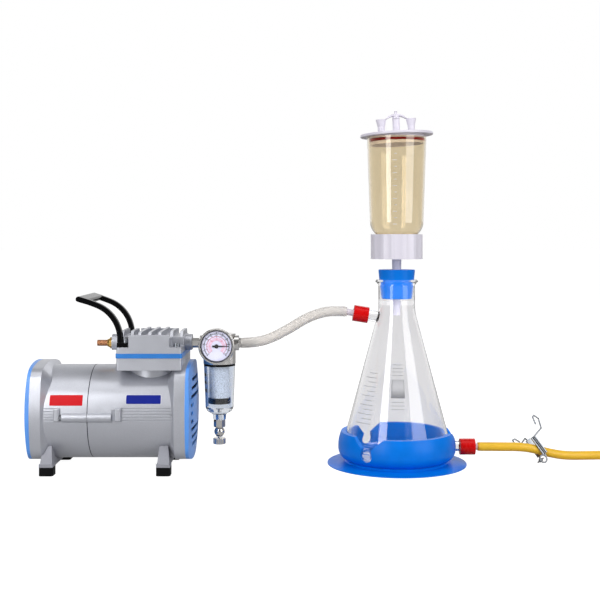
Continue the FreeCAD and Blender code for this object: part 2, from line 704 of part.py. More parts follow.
def cylinder_sleeve():
    return ring(V(CYL_X, PUMP_Y, 100), Z_AXIS, BORE_R + SLEEVE_T, BORE_R, PLATE_Z - 100)


def valve_plate():
    plate = head_slab(HEAD_HALF_X + PLATE_EXTRA, HEAD_HALF_Y + PLATE_EXTRA, PLATE_Z, PLATE_Z + PLATE_H)
    for side in (-1, 1):
        plate = plate.cut(rod(V(CYL_X + side * 10, PUMP_Y, PLATE_Z - 1), Z_AXIS, 3, PLATE_H + 2))
    return drill_head_bolts(plate)


def reed_valves():
    """Two spring strips over the valve plate's ports, each held by its rivet."""
    strips = []
    for side in (-1, 1):
        x = CYL_X + side * 10
        strip = box(x - 4, x + 4, PUMP_Y - 6, PUMP_Y + 16, PLATE_Z + PLATE_H, PLATE_Z + PLATE_H + 0.6)
        strips.append(strip.fuse(rod(V(x, PUMP_Y + 12, PLATE_Z + PLATE_H), Z_AXIS, 1.6, 1.8)))
    return Part.makeCompound(strips)


HEAD_Z = PLATE_Z + PLATE_H


def cylinder_head():
    """Finned head: a shelf, a full-depth middle, set-back sides, and port bosses."""
    def centred(half_x, half_y, z0, z1):
        return box(CYL_X - half_x, CYL_X + half_x, PUMP_Y - half_y, PUMP_Y + half_y, z0, z1)
    shelf = head_slab(HEAD_HALF_X, HEAD_HALF_Y, HEAD_Z, HEAD_Z + SHELF_H)
    middle = centred(HEAD_MAIN_HALF_X, HEAD_HALF_Y, HEAD_Z, HEAD_Z + HEAD_DECK_H)
    sides = centred(HEAD_HALF_X, RECESS_Y + 2, HEAD_Z, HEAD_Z + HEAD_DECK_H)
    head = shelf.fuse(middle).fuse(sides)
    for side in (-1, 1):
        y = PUMP_Y + side * (HEAD_HALF_Y - 1.5)
        head = head.fuse(box(CYL_X - HEAD_MAIN_HALF_X, CYL_X + HEAD_MAIN_HALF_X, y - 1.5, y + 1.5,
                             HEAD_Z, HEAD_Z + HEAD_WALL_H))
    for i in range(-3, 4):
        head = head.fuse(head_fin(i))
    for side, length in ((-1, LEFT_BOSS_L), (1, RIGHT_BOSS_L)):
        x = CYL_X + side * HEAD_HALF_X
        boss = rod(V(x - side * 4, PUMP_Y, PORT_Z + 0.5), X_AXIS * side, PORT_BOSS_R, length + 4)
        head = head.fuse(boss.common(box(x - 30, x + 30, PUMP_Y - 20, PUMP_Y + 20, HEAD_Z, HEAD_Z + 40)))
    for side in (-1, 1):
        x = CYL_X + side * 20
        head = head.cut(rod(V(x, PUMP_Y, PORT_Z), X_AXIS * side, 3.2, 40))
        head = head.cut(box(x - 15, x + 15, PUMP_Y - 8, PUMP_Y + 18, HEAD_Z - 1, HEAD_Z + SHELF_H))
    return drill_head_bolts(head)


def head_fin(i):
    """One cooling fin with sloped ends; the outer fins are shorter."""
    x = CYL_X + i * FIN_PITCH
    half_y = HEAD_HALF_Y - 5 if abs(i) < 2 else RECESS_Y + 2
    low = HEAD_Z + HEAD_DECK_H - 1
    high = HEAD_Z + FIN_TOP_H
    corners = [V(x, PUMP_Y - half_y, low), V(x, PUMP_Y + half_y, low),
               V(x, PUMP_Y + half_y - 6, high), V(x, PUMP_Y - half_y + 6, high)]
    fin = Part.Face(Part.makePolygon(corners + [corners[0]])).extrude(V(FIN_T, 0, 0))
    fin.translate(V(-FIN_T / 2, 0, 0))
    return fin


HANDLE_FOOT_Z = HEAD_Z + SHELF_H
HANDLE_FOOT_T = 5.0


def head_bolts():
    """Four socket screws; the two on the left also hold the handle's feet."""
    bolts = []
    for x, y in head_bolt_places():
        seat_z = HANDLE_FOOT_Z + (HANDLE_FOOT_T if x < CYL_X else 0)
        shank = rod(V(x, y, BLOCK_Z + HEAD_BOLT_LOW), Z_AXIS, HEAD_BOLT_R, seat_z - BLOCK_Z - HEAD_BOLT_LOW)
        cap = rod(V(x, y, seat_z), Z_AXIS, HEAD_BOLT_CAP_R, 4.5).cut(rod(V(x, y, seat_z + 2.5), Z_AXIS, 2.0, 3))
        bolts.append(shank.fuse(cap))
    return Part.makeCompound(bolts)


def arm_section(centre, half_x, half_y):
    """A level rectangle with round corners."""
    slab = box(centre.x - half_x, centre.x + half_x, centre.y - half_y, centre.y + half_y,
               centre.z, centre.z + 1)
    upright = [e for e in slab.Edges if abs(e.tangentAt(e.FirstParameter).z) > 0.99]
    rounded = slab.makeFillet(HANDLE_EDGE_R, upright)
    return min(rounded.Faces, key=lambda face: face.CenterOfMass.z).OuterWire


def carry_handle():
    """Two curved arms from the head's left side, joined by a flat cross grip."""
    def pass_on(start, heading, radius, turn):
        """The arc's middle and end, turning left."""
        points = []
        for angle in (turn / 2, turn):
            a = math.radians(heading + angle)
            h = math.radians(heading)
            points.append(V(start.x + radius * (math.sin(a) - math.sin(h)), start.y,
                            start.z - radius * (math.cos(a) - math.cos(h))))
        return points
    arms = []
    for side in (-1, 1):
        y = PUMP_Y + side * HANDLE_ARM_Y
        foot = V(HANDLE_BASE_X, y, HANDLE_FOOT_Z + 1)
        bend = V(HANDLE_BASE_X, y, HANDLE_FOOT_Z + HANDLE_RISE)
        middle1, end1 = pass_on(bend, 90, HANDLE_R1, HANDLE_TURN1)
        middle2, end2 = pass_on(end1, 90 + HANDLE_TURN1, HANDLE_R2, HANDLE_TURN2)
        path = Part.Wire([Part.LineSegment(foot, bend).toShape(),
                          Part.Arc(bend, middle1, end1).toShape(),
                          Part.Arc(end1, middle2, end2).toShape()])
        half_t = HANDLE_T / 2
        half_w = HANDLE_W / 2
        arms.append(path.makePipeShell([arm_section(foot, half_t, half_w)], True, False))
        tab = box(HANDLE_BASE_X - half_t, CYL_X - HEAD_MAIN_HALF_X - 2.2, y - half_w - 1.5, y + half_w + 1.5,
                  HANDLE_FOOT_Z, HANDLE_FOOT_Z + HANDLE_FOOT_T)
        arms.append(tab)
    grip = box(-HANDLE_GRIP_W / 2, HANDLE_GRIP_W / 2, PUMP_Y - HANDLE_ARM_Y - HANDLE_W / 2,
               PUMP_Y + HANDLE_ARM_Y + HANDLE_W / 2, -HANDLE_T / 2, HANDLE_T / 2)
    long_edges = [e for e in grip.Edges if abs(e.tangentAt(e.FirstParameter).y) > 0.99]
    grip = grip.makeFillet(3.0, long_edges)
    grip.rotate(V(0, 0, 0), Y_AXIS, 90 - HANDLE_TURN1 - HANDLE_TURN2)
    grip.translate(V(end2.x, 0, end2.z))
    handle = grip
    for piece in arms:
        handle = handle.fuse(piece)
    for x, y in head_bolt_places():
        handle = handle.cut(rod(V(x, y, HEAD_Z), Z_AXIS, HEAD_BOLT_R + SEAT, 30))
        handle = handle.cut(rod(V(x, y, HANDLE_FOOT_Z + HANDLE_FOOT_T), Z_AXIS, HEAD_BOLT_CAP_R + GAP, 10))
    return handle.removeSplitter()


LEFT_BOSS_X = CYL_X - HEAD_HALF_X - LEFT_BOSS_L
RIGHT_BOSS_X = CYL_X + HEAD_HALF_X + RIGHT_BOSS_L


def silencer_body():
    start = V(LEFT_BOSS_X, PUMP_Y, PORT_Z)
    body = hex_prism(start, -X_AXIS, 11.5, 3).fuse(cone(start - V(3, 0, 0), -X_AXIS, 5.6, 4.2, 3))
    body = body.fuse(rod(start, X_AXIS, 3.1, 7))
    return body.cut(rod(start + V(10, 0, 0), -X_AXIS, 2.0, 30))


def silencer_element():
    start = V(LEFT_BOSS_X - 6, PUMP_Y, PORT_Z)
    element = rod(start, -X_AXIS, 3.6, 12)
    return element.cut(rod(start + V(1, 0, 0), -X_AXIS, 2.0, 10))


def inlet_nipple():
    start = V(RIGHT_BOSS_X, PUMP_Y, PORT_Z)
    gap = TRAP_X - TRAP_R - 4 - RIGHT_BOSS_X
    nipple = hex_prism(start, X_AXIS, 10, gap).fuse(rod(start - V(6, 0, 0), X_AXIS, 3.1, gap + 12))
    return nipple.cut(rod(start - V(8, 0, 0), X_AXIS, 1.8, gap + 20))


# ---------------------------------------------------------------- gauge and trap

TRAP_LEFT_X = TRAP_X - TRAP_R - 4
TRAP_RIGHT_X = TRAP_X + TRAP_R + 4


def trap_point(z):
    return V(TRAP_X, PUMP_Y, z)


def trap_head():
    """Turned head with a port each side and a boss for the gauge in front."""
    head = rod(trap_point(TRAP_BOTTOM_Z), Z_AXIS, TRAP_R, TRAP_TOP_Z - TRAP_BOTTOM_Z)
    for side in (-1, 1):
        head = head.fuse(rod(V(TRAP_X, PUMP_Y, PORT_Z), X_AXIS * side, 9, TRAP_R + 4))
    gauge_back_y = GAUGE_FRONT_Y + GAUGE_DEPTH
    head = head.fuse(rod(V(GAUGE_X, PUMP_Y, GAUGE_Z), -Y_AXIS, 8, PUMP_Y - gauge_back_y - SEAT))
    head = head.cut(rod(trap_point(TRAP_BOTTOM_Z - 1), Z_AXIS, BOWL_TOP_R - BOWL_WALL - 2, 13))
    head = head.cut(rod(V(TRAP_LEFT_X - 1, PUMP_Y, PORT_Z), X_AXIS, 3.2, 2 * TRAP_R + 10))
    return head.cut(rod(V(TRAP_RIGHT_X + 1, PUMP_Y, PORT_Z), -X_AXIS, 5.0 + SEAT, 9))


def gauge_case():
    """Round case open in front, with a rolled bezel and the post that carries the needle."""
    back = V(GAUGE_X, GAUGE_FRONT_Y + GAUGE_DEPTH, GAUGE_Z)
    case = rod(back, -Y_AXIS, GAUGE_R - 0.8, GAUGE_DEPTH)
    bezel = rod(V(GAUGE_X, GAUGE_FRONT_Y + 4, GAUGE_Z), -Y_AXIS, GAUGE_R, 4)
    rim = [e for e in bezel.Edges
           if abs(e.BoundBox.YMin - GAUGE_FRONT_Y) < 0.01 and e.BoundBox.YLength < 0.01]
    case = case.fuse(bezel.makeFillet(1.5, rim))
    case = case.cut(rod(back - V(0, 2, 0), -Y_AXIS, GAUGE_R - GAUGE_WALL, GAUGE_DEPTH))
    return case.fuse(rod(back - V(0, 1, 0), -Y_AXIS, 1.0, GAUGE_DEPTH - 4))


def gauge_dial():
    y = GAUGE_FRONT_Y + 5.6
    return ring(V(GAUGE_X, y, GAUGE_Z), -Y_AXIS, GAUGE_R - GAUGE_WALL - SEAT, 1.2, 0.8)


def gauge_needle():
    """Pointer with a hub on the post and a short tail."""
    y = GAUGE_FRONT_Y + 3.9
    hub = rod(V(GAUGE_X, y, GAUGE_Z), -Y_AXIS, 2.4, 1.4)
    corners = [V(GAUGE_X - 5, y, GAUGE_Z - 1.1), V(GAUGE_X + 14, y, GAUGE_Z - 0.35),
               V(GAUGE_X + 14, y, GAUGE_Z + 0.35), V(GAUGE_X - 5, y, GAUGE_Z + 1.1)]
    pointer = Part.Face(Part.makePolygon(corners + [corners[0]])).extrude(V(0, -0.6, 0))
    return hub.fuse(pointer).cut(rod(V(GAUGE_X, y + 1, GAUGE_Z), -Y_AXIS, 1.0 + FIT, 2.0))


def gauge_lens():
    y = GAUGE_FRONT_Y + 2.0
    return rod(V(GAUGE_X, y, GAUGE_Z), -Y_AXIS, GAUGE_R - GAUGE_WALL - SEAT, 1.3)


def turned_at_trap(points):
    solid = turned(points)
    solid.translate(V(TRAP_X, PUMP_Y, 0))
    return solid


def trap_bowl():
    """Clear bowl: tapered cup, rounded shoulder and a neck for the drain valve."""
    mid_z = BOWL_LOW_Z - 4
    outer = [(BOWL_TOP_R, BOWL_TOP_Z), (BOWL_LOW_R, BOWL_LOW_Z), (BOWL_LOW_R - 2, mid_z),
             (BOWL_NECK_R, BOWL_NECK_Z), (BOWL_NECK_R - 0.6, BOWL_END_Z)]
    inner = [(3.2, BOWL_END_Z), (3.2, BOWL_NECK_Z + 1), (BOWL_NECK_R, BOWL_NECK_Z + BOWL_WALL + 0.5),
             (BOWL_LOW_R - BOWL_WALL, BOWL_LOW_Z + 1), (BOWL_TOP_R - BOWL_WALL, BOWL_TOP_Z)]
    return turned_at_trap(outer + inner)


def bowl_seal():
    return ring(trap_point(BOWL_TOP_Z + SEAT), Z_AXIS, BOWL_TOP_R, BOWL_TOP_R - BOWL_WALL - 1.5,
                TRAP_BOTTOM_Z - BOWL_TOP_Z - 2 * SEAT)


def filter_element():
    """Porous sleeve hanging from a spigot in the head."""
    return ring(trap_point(ELEMENT_LOW_Z), Z_AXIS, ELEMENT_R, ELEMENT_R - 4, ELEMENT_TOP_Z - ELEMENT_LOW_Z)


def filter_baffle():
    """Black baffle screwed up through the sleeve into the head by its stem."""
    disc = rod(trap_point(ELEMENT_LOW_Z - SEAT - BAFFLE_H), Z_AXIS, ELEMENT_R + 1.2, BAFFLE_H)
    rim = [e for e in disc.Edges if e.BoundBox.ZLength < 0.01]
    disc = disc.makeFillet(1.2, rim)
    stem_top = TRAP_BOTTOM_Z + 12 - SEAT
    return disc.fuse(rod(trap_point(ELEMENT_LOW_Z - 2), Z_AXIS, 3, stem_top - ELEMENT_LOW_Z + 2))


def drain_valve_body():
    body = hex_prism(trap_point(DRAIN_BODY_Z), Z_AXIS, 12, BOWL_END_Z - DRAIN_BODY_Z - SEAT)
    body = body.fuse(rod(trap_point(DRAIN_BODY_Z), Z_AXIS, 3.0, BOWL_NECK_Z - DRAIN_BODY_Z))
    barrel_low = KNOB_TOP_Z + 2
    ball = Part.makeSphere(6.2, trap_point(DRAIN_BODY_Z - 5.5)).common(
        box(TRAP_X - 10, TRAP_X + 10, PUMP_Y - 10, PUMP_Y + 10, barrel_low, DRAIN_BODY_Z))
    body = body.fuse(ball).fuse(rod(trap_point(barrel_low), Z_AXIS, 4.0, DRAIN_BODY_Z - barrel_low))
    return body.cut(rod(trap_point(KNOB_TOP_Z - 1), Z_AXIS, 2.0 + FIT, BOWL_NECK_Z - KNOB_TOP_Z + 2))


def drain_knob():
    """Knurled knob on the needle that it screws up into the valve."""
    knob = rod(trap_point(KNOB_LOW_Z), Z_AXIS, 7.4, KNOB_TOP_Z - KNOB_LOW_Z)
    rim = [e for e in knob.Edges if e.BoundBox.ZLength < 0.01]
    knob = knob.makeFillet(0.8, rim)
    for i in range(16):
        angle = math.radians(360.0 * i / 16)
        knob = knob.cut(rod(V(TRAP_X + 7.7 * math.cos(angle), PUMP_Y + 7.7 * math.sin(angle), KNOB_LOW_Z - 1),
                            Z_AXIS, 0.8, 10))
    return knob.fuse(rod(trap_point(KNOB_TOP_Z - 1), Z_AXIS, 2.0, 18))


def hose_barb():
    """Barbed fitting: hexagon, then three tapered ribs."""
    start = V(TRAP_RIGHT_X + SEAT, PUMP_Y, PORT_Z)
    barb = hex_prism(start, X_AXIS, 10, HOSE_START_X - start.x)
    barb = barb.fuse(rod(start - V(7, 0, 0), X_AXIS, 5.0, 8))
    barb = barb.fuse(rod(V(HOSE_START_X, PUMP_Y, PORT_Z), X_AXIS, 3.4, BARB_END_X - HOSE_START_X))
    rib_l = (BARB_END_X - HOSE_START_X) / 3
    for i in range(3):
        rib_start = V(HOSE_START_X + i * rib_l + 1, PUMP_Y, PORT_Z)
        barb = barb.fuse(Part.makeCone(4.3, 3.2, rib_l - 1, rib_start, X_AXIS))
    return barb.cut(rod(start - V(8, 0, 0), X_AXIS, 2.4, 40))


# ---------------------------------------------------------------- flask

ARM_DIR = V(-math.cos(math.radians(SIDE_ARM_SLOPE)), 0, math.sin(math.radians(SIDE_ARM_SLOPE)))
SIDE_CAP_MIDDLE = V(SIDE_ARM_X, 0, SIDE_ARM_Z)
OUTLET_CAP_MIDDLE = V(OUTLET_CAP_X, 0, OUTLET_Z)
CONE_SLOPE = (FLASK_MAX_R - FLASK_SHOULDER_R) / (FLASK_SHOULDER_Z - FLASK_MAX_Z)


def flask_profile(wall):
    """Half outline of the flask from the axis at the bottom to its rim, thinned by wall."""
    low = FLASK_BOTTOM_Z + wall
    heel_r = FLASK_HEEL_R - wall
    max_r = FLASK_MAX_R - wall
    heel_x = max_r - heel_r
    heel_mid = V(heel_x + heel_r * math.sin(math.radians(50)), 0,
                 low + heel_r * (1 - math.cos(math.radians(50))))
    max_point = V(max_r, 0, FLASK_MAX_Z)
    shoulder = V(FLASK_SHOULDER_R - wall, 0, FLASK_SHOULDER_Z)
    neck = V(FLASK_NECK_R - wall, 0, FLASK_NECK_Z)
    blend = V((shoulder.x + neck.x) / 2 - 0.75, 0, (shoulder.z + neck.z) / 2)
    edges = [Part.LineSegment(V(0, 0, low), V(heel_x, 0, low)),
             Part.Arc(V(heel_x, 0, low), heel_mid, max_point),
             Part.LineSegment(max_point, shoulder),
             Part.Arc(shoulder, blend, neck)]
    return edges, neck


def flask():
    outer, neck = flask_profile(0)
    under_rim = V(FLASK_NECK_R, 0, FLASK_TOP_Z - 7)
    rim_out = V(FLASK_RIM_R, 0, FLASK_TOP_Z - 2)
    rim_top = V(FLASK_RIM_R - 1.8, 0, FLASK_TOP_Z)
    mouth_r = stopper_radius(FLASK_TOP_Z) + GAP
    outer += [Part.LineSegment(neck, under_rim),
              Part.Arc(under_rim, V(FLASK_NECK_R + 2.0, 0, FLASK_TOP_Z - 4), rim_out),
              Part.LineSegment(rim_out, rim_top),
              Part.LineSegment(rim_top, V(0, 0, FLASK_TOP_Z)),
              Part.LineSegment(V(0, 0, FLASK_TOP_Z), V(0, 0, FLASK_BOTTOM_Z))]
    inner, inner_neck = flask_profile(FLASK_WALL)
    throat = V(stopper_radius(STOPPER_LOW_Z) + GAP, 0, STOPPER_LOW_Z - 2)
    inner += [Part.LineSegment(inner_neck, throat),
              Part.LineSegment(throat, V(mouth_r, 0, FLASK_TOP_Z)),
              Part.LineSegment(V(mouth_r, 0, FLASK_TOP_Z), V(0, 0, FLASK_TOP_Z)),
              Part.LineSegment(V(0, 0, FLASK_TOP_Z), V(0, 0, FLASK_BOTTOM_Z + FLASK_WALL))]
    bulk = Part.Face(Part.Wire([e.toShape() for e in outer])).revolve(V(0, 0, 0), Z_AXIS, 360)
    hollow = Part.Face(Part.Wire([e.toShape() for e in inner])).revolve(V(0, 0, 0), Z_AXIS, 360)
    side_end = SIDE_CAP_MIDDLE + ARM_DIR * (CAP_L / 2 - CAP_TOP_T - 1.0)
    outlet_end = OUTLET_CAP_MIDDLE + X_AXIS * (CAP_L / 2 - CAP_TOP_T - 1.0)
    side_root = side_end - ARM_DIR * 40
    outlet_root = V(FLASK_MAX_R - 8, 0, OUTLET_Z)
    for root, end in ((side_root, side_end), (outlet_root, outlet_end)):
        axis = end - root
        length = axis.Length
        bulk = bulk.fuse(rod(root, axis.normalize(), ARM_R, length))
    body = bulk.cut(hollow)
    for root, end in ((side_root, side_end), (outlet_root, outlet_end)):
        axis = end - root
        length = axis.Length
        body = body.cut(rod(root, axis.normalize(), ARM_BORE_R, length + 5))
    return body


def stopper_radius(z):
    share = (z - STOPPER_LOW_Z) / (STOPPER_TOP_Z - STOPPER_LOW_Z)
    return STOPPER_LOW_R + share * (STOPPER_TOP_R - STOPPER_LOW_R)


def stem_radius(z):
    share = (z - STEM_LOW_Z) / (COLLAR_LOW_Z - STEM_LOW_Z)
    return STEM_LOW_R + share * (STEM_TOP_R - STEM_LOW_R)


def stopper():
    height = STOPPER_TOP_Z - STOPPER_LOW_Z
    plug = Part.makeCone(STOPPER_LOW_R, STOPPER_TOP_R, height, V(0, 0, STOPPER_LOW_Z))
    bore = Part.makeCone(stem_radius(STOPPER_LOW_Z - 1) + SEAT, stem_radius(STOPPER_TOP_Z + 1) + SEAT,
                         height + 2, V(0, 0, STOPPER_LOW_Z - 1))
    rims = [e for e in plug.Edges if e.BoundBox.ZLength < 0.01]
    return plug.makeFillet(1.0, rims).cut(bore)


def screw_cap(middle, outward):
    """Open screw cap: a plain bore over the glass arm and a top with a hole for the tail."""
    start = middle - outward * (CAP_L / 2)
    cap = rod(start, outward, CAP_R, CAP_L)
    cap = cap.cut(rod(start - outward, outward, ARM_R + GAP, CAP_L - CAP_TOP_T + 1))
    return cap.cut(rod(start, outward, CONNECTOR_TAIL_R + GAP, CAP_L + 1))


def connector(middle, outward):
    """Hose connector: a flange that the cap pulls against the glass, and a tail."""
    flange_top = middle + outward * (CAP_L / 2 - CAP_TOP_T - SEAT)
    flange_t = 1.0 - 2 * SEAT
    tail_l = CAP_TOP_T + SEAT + CONNECTOR_OUT + flange_t
    body = rod(flange_top - outward * flange_t, outward, ARM_R - 0.3, flange_t)
    body = body.fuse(rod(flange_top - outward * flange_t, outward, CONNECTOR_TAIL_R, tail_l))
    return body.cut(rod(flange_top - outward * 2, outward, 2.2, tail_l + 4))


def flask_base():
    """Silicone cup on a thin suction skirt, with three keyhole slots for the outlets."""
    flange_low = 0.0
    outer = [V(0, 0, flange_low), V(BASE_FLANGE_R, 0, flange_low), V(BASE_FLANGE_R, 0, BASE_FLANGE_T * 0.5),
             V(BASE_GROOVE_R + 2, 0, BASE_FLANGE_T + 1.2), V(BASE_GROOVE_R, 0, BASE_FLANGE_T + 3.2)]
    top = V(BASE_TOP_R, 0, BASE_TOP_Z)
    edges = [Part.LineSegment(a, b) for a, b in zip(outer, outer[1:])]
    wide = V(BASE_MAX_R, 0, BASE_MAX_Z)
    lower_mid = V(BASE_MAX_R - 2.9, 0, BASE_FLANGE_T + 8.0)
    upper_mid = V(BASE_MAX_R - 0.6, 0, (BASE_MAX_Z + BASE_TOP_Z) / 2 + 1)
    edges += [Part.Arc(outer[-1], lower_mid, wide), Part.Arc(wide, upper_mid, top)]
    rim_in = V(flask_outer_r(BASE_TOP_Z) + GAP, 0, BASE_TOP_Z)
    shelf = V(flask_outer_r(FLASK_MAX_Z) + GAP, 0, FLASK_MAX_Z)
    heel = V(FLASK_MAX_R - FLASK_HEEL_R + GAP, 0, BASE_FLOOR_Z)
    heel_r = FLASK_HEEL_R + GAP
    heel_mid = V(heel.x + heel_r * math.sin(math.radians(45)), 0, BASE_FLOOR_Z + heel_r * 0.2929 - 0.3)
    edges += [Part.LineSegment(top, rim_in), Part.LineSegment(rim_in, shelf),
              Part.Arc(shelf, heel_mid, heel), Part.LineSegment(heel, V(0, 0, BASE_FLOOR_Z)),
              Part.LineSegment(V(0, 0, BASE_FLOOR_Z), V(0, 0, flange_low))]
    base = Part.Face(Part.Wire([e.toShape() for e in edges])).revolve(V(0, 0, 0), Z_AXIS, 360)
    for angle in SLOT_ANGLES:
        base = base.cut(keyhole_cutter(angle))
    return base


def flask_outer_r(z):
    return FLASK_MAX_R - CONE_SLOPE * (z - FLASK_MAX_Z)


def keyhole_cutter(angle):
    """A round hole at outlet height that opens upward into a V-shaped mouth."""
    inner_x = FLASK_MAX_R - 9.5
    reach = 30.0
    hole = rod(V(inner_x, 0, OUTLET_Z), X_AXIS, SLOT_R, reach)
    half = SLOT_MOUTH_W / 2
    neck = SLOT_R - 0.8
    corners = [V(inner_x, -neck, OUTLET_Z), V(inner_x, neck, OUTLET_Z), V(inner_x, neck, SLOT_MOUTH_LOW_Z),
               V(inner_x, half, BASE_TOP_Z + 2), V(inner_x, -half, BASE_TOP_Z + 2),
               V(inner_x, -neck, SLOT_MOUTH_LOW_Z)]
    mouth = Part.Face(Part.makePolygon(corners + [corners[0]])).extrude(V(reach, 0, 0))
    cutter = hole.fuse(mouth)
    cutter.rotate(V(0, 0, 0), Z_AXIS, angle)
    return cutter


# ---------------------------------------------------------------- funnel

PLATE_LOW_Z = COLLAR_LOW_Z + COLLAR_LIP_H + GAP
SCREEN_Z = PLATE_LOW_Z + FUNNEL_PLATE_H
GASKET_Z = SCREEN_Z + SCREEN_H
CUP_FOOT_Z = GASKET_Z + GASKET_H
FUNNEL_FLANGE_R = COLLAR_R - COLLAR_WALL - GAP
SCREEN_R = 22.0


def funnel_base():
    """White plate with a dished outlet and a long stem through the stopper."""
    plate = rod(V(0, 0, PLATE_LOW_Z), Z_AXIS, FUNNEL_FLANGE_R, FUNNEL_PLATE_H)
    stem = Part.makeCone(STEM_LOW_R, STEM_TOP_R, COLLAR_LOW_Z - STEM_LOW_Z, V(0, 0, STEM_LOW_Z))
    hub = rod(V(0, 0, COLLAR_LOW_Z), Z_AXIS, STEM_TOP_R, PLATE_LOW_Z - COLLAR_LOW_Z)
    base = plate.fuse(stem).fuse(hub)
    dish = Part.makeCone(STEM_BORE_R, SCREEN_R - 2, FUNNEL_PLATE_H - 3, V(0, 0, PLATE_LOW_Z + 3))
    return base.cut(dish).cut(rod(V(0, 0, STEM_LOW_Z - 1), Z_AXIS, STEM_BORE_R, 90))


def locking_collar():
    """Fluted ring nut that pulls the funnel cup down on its base."""
    height = COLLAR_TOP_Z - COLLAR_LOW_Z
    collar = rod(V(0, 0, COLLAR_LOW_Z), Z_AXIS, COLLAR_R, height)
    flute_r = 30.0
    for i in range(COLLAR_FACETS):
        angle = math.radians(360.0 * (i + 0.5) / COLLAR_FACETS)
        reach = COLLAR_R + flute_r - COLLAR_FLUTE_DEPTH
        flute = rod(V(reach * math.cos(angle), reach * math.sin(angle), COLLAR_LOW_Z - 1), Z_AXIS,
                    flute_r, height + 2)
        collar = collar.cut(flute)
    collar = collar.cut(rod(V(0, 0, COLLAR_LOW_Z + COLLAR_LIP_H), Z_AXIS, COLLAR_R - COLLAR_WALL, height))
    return collar.cut(rod(V(0, 0, COLLAR_LOW_Z - 1), Z_AXIS, STEM_TOP_R + GAP, height))


def support_screen():
    """Perforated disc that the membrane lies on."""
    screen = rod(V(0, 0, SCREEN_Z), Z_AXIS, SCREEN_R, SCREEN_H)
    holes = []
    for count, radius in ((1, 0), (6, 6), (12, 12), (18, 17.5)):
        for i in range(count):
            angle = math.radians(360.0 * i / count)
            holes.append(rod(V(radius * math.cos(angle), radius * math.sin(angle), SCREEN_Z - 1), Z_AXIS,
                             1.2, SCREEN_H + 2))
    return screen.cut(Part.makeCompound(holes))


def funnel_gasket():
    return ring(V(0, 0, GASKET_Z), Z_AXIS, SCREEN_R + 1.5, SCREEN_R - 2.5, GASKET_H)


def cup_edges(wall, foot_z):
    """Outline of the cup's wall from its foot to its rim."""
    waist = V(CUP_WAIST_R - wall, 0, CUP_WAIST_Z)
    shoulder = V(CUP_SHOULDER_R - wall, 0, CUP_SHOULDER_Z)
    bulge = V(CUP_WAIST_R + 4.9 - wall, 0, CUP_WAIST_Z + 6.2)
    rim = V(CUP_TOP_R - wall, 0, CUP_TOP_Z)
    return [Part.LineSegment(V(CUP_WAIST_R - wall, 0, foot_z), waist),
            Part.Arc(waist, bulge, shoulder), Part.LineSegment(shoulder, rim)]


def funnel_cup():
    """Amber cup: flanged foot, narrow waist, curved shoulder and a slightly flared wall."""
    outer = cup_edges(0, CUP_FOOT_Z)
    inner = cup_edges(CUP_WALL, CUP_FOOT_Z)
    rim_out = V(CUP_TOP_R, 0, CUP_TOP_Z)
    rim_in = V(CUP_TOP_R - CUP_WALL, 0, CUP_TOP_Z)
    foot_in = V(CUP_WAIST_R - CUP_WALL, 0, CUP_FOOT_Z)
    foot_out = V(CUP_WAIST_R, 0, CUP_FOOT_Z)
    edges = outer + [Part.LineSegment(rim_out, rim_in)] + inner + [Part.LineSegment(foot_in, foot_out)]
    wire = Part.Wire(Part.__sortEdges__([e.toShape() for e in edges]))
    cup = Part.Face(wire).revolve(V(0, 0, 0), Z_AXIS, 360)
    return cup.fuse(ring(V(0, 0, CUP_FOOT_Z), Z_AXIS, FUNNEL_FLANGE_R, CUP_WAIST_R - CUP_WALL, CUP_FOOT_H))


LID_MIDDLE_Z = CUP_TOP_Z + CUP_TOP_R * math.sin(math.radians(LID_TILT)) + 0.2
CUP_SLOPE = (CUP_TOP_R - CUP_SHOULDER_R) / (CUP_TOP_Z - CUP_SHOULDER_Z)
LID_PLUG_R = CUP_TOP_R - LID_PLUG_H * CUP_SLOPE - CUP_WALL - LID_PLUG_GAP


def seat_lid(solid):
    """Tilt a lid piece as it sits on the cup, its right side a little high."""
    solid.rotate(V(0, 0, 0), Y_AXIS, -LID_TILT)
    solid.translate(V(0, 0, LID_MIDDLE_Z))
    return solid


def funnel_lid():
    """Lid with a shallow hollow plug and three ports in a row."""
    lid = rod(V(0, 0, 0), Z_AXIS, LID_R, LID_T)
    rim = [e for e in lid.Edges if e.BoundBox.ZLength < 0.01]
    lid = lid.makeFillet(0.8, rim)
    lid = lid.fuse(ring(V(0, 0, -LID_PLUG_H), Z_AXIS, LID_PLUG_R, LID_PLUG_R - 2, LID_PLUG_H + 1))
    for x in (-LID_PORT_X, 0, LID_PORT_X):
        lid = lid.fuse(rod(V(x, 0, LID_T - 1), Z_AXIS, LID_PORT_R, LID_PORT_H + 1))
        if x:
            top = Part.makeCone(LID_PORT_R, LID_PORT_R + LID_PORT_FLARE, 9, V(x, 0, LID_T + LID_PORT_H - 9))
            lid = lid.fuse(top)
        lid = lid.cut(rod(V(x, 0, -1), Z_AXIS, LID_PORT_R - 1.4, LID_T + LID_PORT_H + 3))
    groove = ring(V(0, 0, -6.6), Z_AXIS, LID_PLUG_R + 1, LID_PLUG_R - 1.0, 3.2)
    return seat_lid(lid.cut(groove))


def lid_o_ring():
    seal = Part.makeTorus(LID_PLUG_R - 0.1, 0.85, V(0, 0, -5.0))
    return seat_lid(seal)


